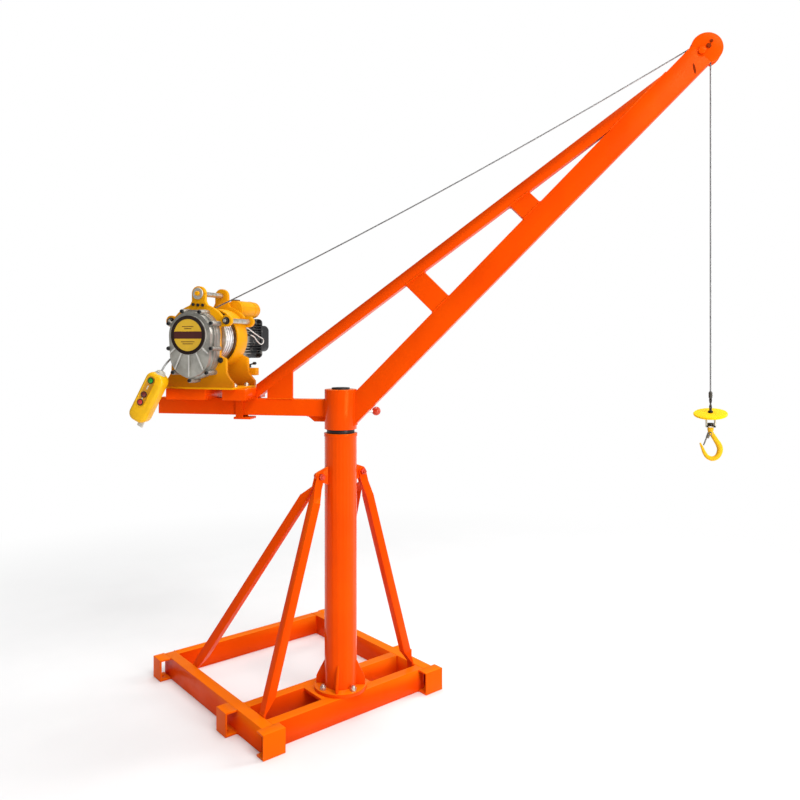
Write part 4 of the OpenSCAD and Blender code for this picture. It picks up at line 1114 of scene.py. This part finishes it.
class CRANE_OT_motor(bpy.types.Operator):
    """Grille, screws, capacitor straps, limit lever and limit wire behind the drum"""

    bl_idname = "crane.motor"
    bl_label = "Motor Side"

    def execute(self, context):
        self.grille()
        self.screws()
        self.capacitor()
        self.lever()
        self.wire()
        return {"FINISHED"}

    def grille(self):
        bm = bmesh.new()
        end = along((0, COWL[1].y, 0), (0, 1, 0))
        for radius in GRILLE_RINGS:
            washer(bm, end, radius, radius - 0.003, 0.0016)
        for turn in (0, 1):
            bar = end @ Matrix.Rotation(turn * math.pi / 2, 4, "Z")
            block(bm, (-GRILLE_RINGS[-1], -0.0015, 0), (GRILLE_RINGS[-1], 0.0015, 0.0018), bar)
        winch_piece("fan_grille", bm, "cowl")

    def screws(self):
        bm = bmesh.new()
        for x in MOTOR_SCREW_X:
            for z in MOTOR_SCREW_Z:
                socket_screw(bm, along((x, MOTOR[1].y, z), (0, 1, 0)), 0.009, 0.005)
        winch_piece("motor_screws", bm, "zinc")

    def capacitor(self):
        centre = (CAN[0] + CAN[1]) / 2
        radius = (CAN[1].x - CAN[0].x) / 2
        start = along((centre.x, CAN[0].y, centre.z), (0, 1, 0))
        length = CAN[1].y - CAN[0].y
        bm = bmesh.new()
        inner, outer = radius - 0.001, radius + 0.0012
        strap = [(inner, 0), (outer, 0.001), (outer, 0.006), (inner, 0.007)]
        for at in STRAPS:
            lathe(bm, strap, start @ Matrix.Translation((0, 0, at * length)), 48)
        for turn in (-0.3, math.pi - 0.3):
            seam = start @ Matrix.Rotation(turn, 4, "Z")
            block(bm, (radius - 0.001, -0.002, 0.01), (radius + 0.001, 0.002, length - 0.016), seam, 0.0004)
        winch_piece("capacitor_straps", bm, "yellow")
        bm = bmesh.new()
        top = (centre.x - 0.006, CAN[0].y + 0.006, CAN[1].z - 0.003)
        block(bm, (-0.011, 0, 0), (0.011, 0.030, 0.007), Matrix.Translation(top), 0.002)
        winch_piece("capacitor_gland", bm, "cowl")

    def lever(self):
        low, high = SWITCH
        middle = (low.y + high.y) / 2
        bm = bmesh.new()
        foot = Matrix.Translation((low.x + 0.004, middle, high.z))
        tilt = foot @ Matrix.Rotation(LEVER_TILT, 4, "Y")
        block(bm, (-0.003, -0.007, 0), (0.008, 0.007, 0.010), tilt, 0.001)
        block(bm, (-0.006, -0.006, 0.008), (0.028, 0.006, 0.0125), tilt, 0.0012)
        prism(bm, 20, 0.0055, 0.012, tilt @ along((0.027, -0.006, 0.0105), (0, 1, 0)), 0.0006)
        winch_piece("limit_lever", bm, "black")

    def wire(self):
        points = smooth_line([WINCH @ (Vector(p) * MM) for p in WIRE_LOOP], 3)
        obj = line_curve("limit_wire", [points], sizes().wire / 2, 3)
        obj.data.materials.append(finish("wire"))
        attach(obj, "boom")
        bm = bmesh.new()
        half = sizes().wire / 2
        profile = [(0, -0.004), (1.9 * half, -0.004), (1.7 * half, 0.004), (1.05 * half, 0.008)]
        for point, ahead in ((points[0], points[1]), (points[-1], points[-2])):
            lathe(bm, profile, along(point, ahead - point), 16)
        piece("wire_sleeves", bm, "boom", [finish("cowl")])


# The pendant

CASE_CORNER, CASE_RIM = 0.026, 0.012
# Left, right, lower and upper edge of the recessed field, in the pendant's frame
SLOT = (-0.025, 0.009, -0.131, -0.013)
SLOT_CORNER = 0.0165
# Place of the buttons across the field, and how far they and the marks lie below the pendant's top
KEY_X = -0.008
BUTTON_DROPS = (0.030, 0.084, 0.114)
MARK_DROPS = (0.052, 0.060, 0.099)
# Half width and half height of a mark
MARK_W, MARK_H = 0.0015, 0.003
# The lead's ends and the points that they head for, in the winch's frame and then in the pendant's
LEAD_START = (-0.0844, -0.1385, -0.058)
LEAD_START_PULL = (-0.1135, -0.1385, -0.0824)
LEAD_END_PULL = (0, 0, 0.0442)
LEAD_END = (0, 0, 0.0122)


class CRANE_OT_pendant(bpy.types.Operator):
    """Pendant control with its buttons, boot, strap tail and lead"""

    bl_idname = "crane.pendant"
    bl_label = "Pendant"

    def execute(self, context):
        self.case()
        self.buttons()
        self.boot()
        self.lead()
        return {"FINISHED"}

    def rounded(self, bm, low, high, corner, rim, segments=6):
        """Box with broad corners in front view and a softer rim."""
        low, high = Vector(low), Vector(high)
        shape = Matrix.Translation((low + high) / 2) @ Matrix.Diagonal((*(high - low), 1))
        made = bmesh.ops.create_cube(bm, size=1, matrix=shape)["verts"]
        upright = [e for e in edges_of(made) if self.along_y(e)]
        bevelled = break_edges(bm, upright, corner, segments)
        faces = {f for v in bevelled["verts"] for f in v.link_faces}
        if rim:
            ends = [f for f in faces if abs(f.normal.y) > 0.9]
            break_edges(bm, {e for f in ends for e in f.edges}, rim, 4)

    def along_y(self, edge):
        span = edge.verts[0].co - edge.verts[1].co
        return abs(span.y) > 0.99 * span.length

    def case(self):
        bm = bmesh.new()
        self.rounded(bm, CASE[0], (CASE[1].x, CASE[1].y, 0), CASE_CORNER, CASE_RIM)
        obj = piece("pendant_case", bm, "boom", [finish("pendant")], PENDANT, 50)
        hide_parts("pendant")
        bm = bmesh.new()
        front = CASE[0].y
        left, right, lower, upper = SLOT
        self.rounded(bm, (left, front - 0.0015, lower), (right, front + 0.002, upper), SLOT_CORNER, 0)
        bm.normal_update()
        face = min(bm.faces, key=lambda f: f.normal.y)
        bmesh.ops.inset_individual(bm, faces=[face], thickness=0.0022, depth=-0.0012)
        face.material_index = 1
        looks = [finish("pendant"), finish("pendant_deep")]
        piece("pendant_slot", bm, "boom", looks, PENDANT)

    def buttons(self):
        bm = bmesh.new()
        front = CASE[0].y
        cap = [(0, 0.0062), (0.0055, 0.0058), (0.0078, 0.0044), (0.0084, 0.0026), (0.0084, 0)]
        for index, drop in enumerate(BUTTON_DROPS):
            place = along((KEY_X, front - 0.0002, -drop), (0, -1, 0))
            old = set(bm.faces)
            lathe(bm, cap, place, 28)
            tint_new(bm, old, index)
            old = set(bm.faces)
            washer(bm, place, 0.0108, 0.0085, 0.0028)
            tint_new(bm, old, 3)
        old = set(bm.faces)
        for drop in MARK_DROPS:
            low = (KEY_X - MARK_W, front - 0.001, -drop - MARK_H)
            block(bm, low, (KEY_X + MARK_W, front + 0.0002, -drop + MARK_H), Matrix())
        tint_new(bm, old, 4)
        looks = [finish(name) for name in ("green", "maroon", "red", "cowl", "wire")]
        obj = piece("pendant_keys", bm, "boom", looks, PENDANT)
        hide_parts("pendant_buttons")

    def boot(self):
        bm = bmesh.new()
        tip = [(0, 0.0121), (0.0058, 0.0121), (0.0105, 0.0108), (0.0108, 0.0090)]
        fold = [(0.0145, 0.0084), (0.0158, 0.0062), (0.0138, 0.0052), (0.0140, 0.0036)]
        skirt = [(0.0182, 0.0022), (0.0188, -0.006)]
        lathe(bm, tip + fold + skirt, Matrix(), 32)
        tail = Matrix.Translation((0.014, 0.004, -0.182)) @ Matrix.Rotation(math.radians(8), 4, "X")
        block(bm, (-0.011, -0.003, -0.020), (0.011, 0.003, 0.004), tail, 0.0025, 3)
        piece("pendant_boot", bm, "boom", [finish("hood")], PENDANT)

    def lead(self):
        start = WINCH @ Vector(LEAD_START)
        start_pull = WINCH @ Vector(LEAD_START_PULL)
        end_pull = PENDANT @ Vector(LEAD_END_PULL)
        end = PENDANT @ Vector(LEAD_END)
        points = interpolate_bezier(start, start_pull, end_pull, end, 24)
        obj = line_curve("pendant_cable", [points], sizes().lead / 2, 3)
        obj.data.materials.append(finish("lead"))
        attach(obj, "boom")
        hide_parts("pendant_lead")
        bm = bmesh.new()
        half = sizes().lead / 2
        profile = [(0, -0.009), (2.0 * half, -0.009), (2.0 * half, 0.003), (1.5 * half, 0.004)]
        lathe(bm, [*profile, (1.04 * half, 0.012)], along(start, start_pull - start), 20)
        piece("lead_gland", bm, "boom", [finish("cowl")])


# The hook block

# Thickness and lay of the doubled rope over the disc
EYE_D, EYE_LAY = 0.0092, 0.048
FERRULE_L = 0.022
# Height of the grommet's foot over the middle of the disc
GROMMET_Z = 0.003
YOKE_PIN_X = (-0.0105, 0.0105)
# Heights of the yoke's pins and of the swivel nut over the yoke's foot
YOKE_PIN_Z, SWIVEL_NUT_Z = 0.0042, 0.0043


class CRANE_OT_hook(bpy.types.Operator):
    """Ferrule and doubled rope over the disc, pins and nut of the hook's yoke"""

    bl_idname = "crane.hook"
    bl_label = "Hook Block"

    def execute(self, context):
        disc = local_box("limiter_disc", HOOK)
        seat = (disc[0].z + disc[1].z) / 2 + GROMMET_Z
        self.ferrule(FALL[0].z - FERRULE_L, seat)
        self.grommet(seat)
        self.yoke(local_box("hook_yoke", HOOK)[0])
        return {"FINISHED"}

    def ferrule(self, foot, seat):
        """Pressed ferrule with the doubled rope from its foot to the grommet."""
        path = dense([FALL_AXIS + UP * (foot + MM), FALL_AXIS + UP * seat], 0.0016)
        lines, radius = laid_strands(path, EYE_D, EYE_LAY, 2)
        bm = line_mesh(lines, radius)
        crimp = [(0, 0), (0.0046, 0), (0.0060, 0.003), (0.0056, 0.006), (0.0062, 0.009), (0.0056, 0.012)]
        crimp += [(0.0062, 0.015), (0.0050, 0.020), (0.0030, FERRULE_L), (0, FERRULE_L)]
        lathe(bm, crimp, Matrix.Translation(FALL_AXIS + UP * foot), 24)
        obj = piece("rope_ferrule", bm, "hook_block", [finish("ferrule")], None, 60)
        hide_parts("rope_end")

    def grommet(self, seat):
        bm = bmesh.new()
        profile = [(0, 0.010), (0.0056, 0.009), (0.0078, 0.006), (0.0080, 0.003), (0.0065, 0)]
        lathe(bm, profile, Matrix.Translation(FALL_AXIS + UP * seat), 24)
        piece("disc_grommet", bm, "hook_block", [finish("label_ring")])

    def yoke(self, corner):
        """Pins on the yoke's near side and the nut of the swivel, placed from the yoke's lowest corner."""
        bm = bmesh.new()
        for x in YOKE_PIN_X:
            prism(bm, 16, 0.0032, 0.0036, along((x, corner.y, corner.z + YOKE_PIN_Z), (0, -1, 0)), 0.0006)
        piece("yoke_pins", bm, "hook_block", [finish("black")], HOOK)
        bm = bmesh.new()
        hex_nut(bm, Matrix.Translation((0, 0, corner.z + SWIVEL_NUT_Z)), 0.0184, 0.0096)
        piece("swivel_nut", bm, "hook", [finish("black")], HOOK)


# The boom's head

# x and z of the bolt, nut and weld plug on the head's near side, in the boom's frame
HEAD_BOLT = (1.236, 2.267)
HEAD_NUT = (1.228, 2.252)
HEAD_PLUG = (1.184, 2.182)


class CRANE_OT_head(bpy.types.Operator):
    """Bolt, nut and weld plug on the near side of the boom's head"""

    bl_idname = "crane.head"
    bl_label = "Boom Head"

    def execute(self, context):
        side = local_box("head_cheeks", BOOM)[0].y
        bm = bmesh.new()
        prism(bm, 20, 0.005, 0.005, self.on_side(HEAD_BOLT, side), 0.001)
        hex_nut(bm, self.on_side(HEAD_NUT, side, 0.4), 0.014, 0.005)
        oval = Matrix.Diagonal((0.0036, 0.0175, 1, 1))
        prism(bm, 28, 1.0, 0.0009, self.on_side(HEAD_PLUG, side, 0.2) @ oval)
        piece("head_bolts", bm, "boom", [finish("rust_red")], BOOM)
        return {"FINISHED"}

    def on_side(self, point, side, spin=0.0):
        """Place on the cheek's outer face, looking away from it."""
        return along((point[0], side, point[1]), (0, -1, 0), spin)


# Welds

BASE_SEAMS = [
    ("front_beam", "left_rail"), ("front_beam", "right_rail"), ("middle_beam", "left_rail"),
    ("middle_beam", "right_rail"), ("back_beam", "left_rail"), ("back_beam", "right_rail"),
    ("mast", "mast_seat"), ("base_feet", "left_rail"), ("base_feet", "right_rail"),
    ("base_feet", "front_beam"),
]
BOOM_SEAMS = [
    ("boom_webs", "lower_chord"), ("boom_webs", "upper_chord"), ("upper_chord", "lower_chord"),
    ("back_arm", "slew_collar"), ("lower_chord", "slew_collar"), ("boom_gussets", "back_arm"),
    ("upper_chord", "back_arm"), ("winch_platform", "back_arm"), ("head_cheeks", "lower_chord"),
]
# Heights of the frame's bottom and top faces
RAIL_LEVELS = [corner.z for corner in local_box("left_rail", Matrix())]
BEAD_STEP = 0.0024


def contact_lines(node, other, reach=0.0007):
    """Sharp edges of a node, its flat faces joined, on the skin of another, as pairs of points."""
    bm = bmesh.new()
    bm.from_mesh(NODES[node].data)
    bmesh.ops.remove_doubles(bm, verts=bm.verts, dist=1e-5)
    bmesh.ops.dissolve_limit(bm, angle_limit=math.radians(1), verts=bm.verts, edges=bm.edges)
    skin = bmesh.new()
    skin.from_mesh(NODES[other].data)
    tree = BVHTree.FromBMesh(skin)
    lines = []
    for edge in bm.edges:
        if len(edge.link_faces) != 2 or edge.calc_face_angle() < math.radians(35):
            continue
        a, b = (v.co.copy() for v in edge.verts)
        if all(tree.find_nearest(p)[3] < reach for p in (a, a.lerp(b, 0.5), b)):
            lines.append((a, b))
    bm.free()
    skin.free()
    return lines


class CRANE_OT_welds(bpy.types.Operator):
    """Weld beads along the seams of frame and boom"""

    bl_idname = "crane.welds"
    bl_label = "Welds"

    def execute(self, context):
        for name, body, seams in (("base_welds", "base", BASE_SEAMS), ("boom_welds", "boom", BOOM_SEAMS)):
            lines = [line for pair in seams for line in contact_lines(*pair) if not self.flush(line)]
            if not lines:
                raise RuntimeError(f"no seams found for {name}")
            self.beads(name, body, lines)
        return {"FINISHED"}

    def flush(self, line):
        """Whether a seam lies in the frame's top or bottom faces, where it is ground flush."""
        return any(all(abs(p.z - level) < MM for p in line) for level in RAIL_LEVELS)

    def beads(self, name, body, lines):
        obj = line_curve("bead", [dense(list(line), BEAD_STEP) for line in lines], sizes().bead, 1)
        for spline in obj.data.splines:
            for i, point in enumerate(spline.points):
                point.radius = 0.86 + 0.22 * (i % 3 == 0) + 0.08 * math.sin(0.7 * i)
        bm = curve_bmesh(obj)
        piece(name, bm, body, [finish("orange")], None, 60)


PIECES = [
    CRANE_OT_stage, CRANE_OT_motor, CRANE_OT_pendant, CRANE_OT_finishes, CRANE_OT_gear_case,
    CRANE_OT_brackets, CRANE_OT_ropes, CRANE_OT_hook, CRANE_OT_head, CRANE_OT_welds,
]


class CRANE_PT_panel(bpy.types.Panel):
    """Lists the crane's steps"""

    bl_idname = "CRANE_PT_panel"
    bl_label = "Mini Roof Crane"
    bl_space_type = "VIEW_3D"
    bl_region_type = "UI"
    bl_category = "Crane"

    def draw(self, context):
        for step in PIECES:
            self.layout.operator(step.bl_idname)


CLASSES = [CraneColours, CraneSizes, *PIECES, CRANE_PT_panel]


def register():
    for cls in CLASSES:
        bpy.utils.register_class(cls)
    bpy.types.Scene.crane_colours = PointerProperty(type=CraneColours)
    bpy.types.Scene.crane_sizes = PointerProperty(type=CraneSizes)


def unregister():
    del bpy.types.Scene.crane_sizes
    del bpy.types.Scene.crane_colours
    for cls in reversed(CLASSES):
        bpy.utils.unregister_class(cls)


def main():
    register()
    for step in PIECES:
        group, name = step.bl_idname.split(".")
        getattr(getattr(bpy.ops, group), name)()


if __name__ == "__main__":
    main()
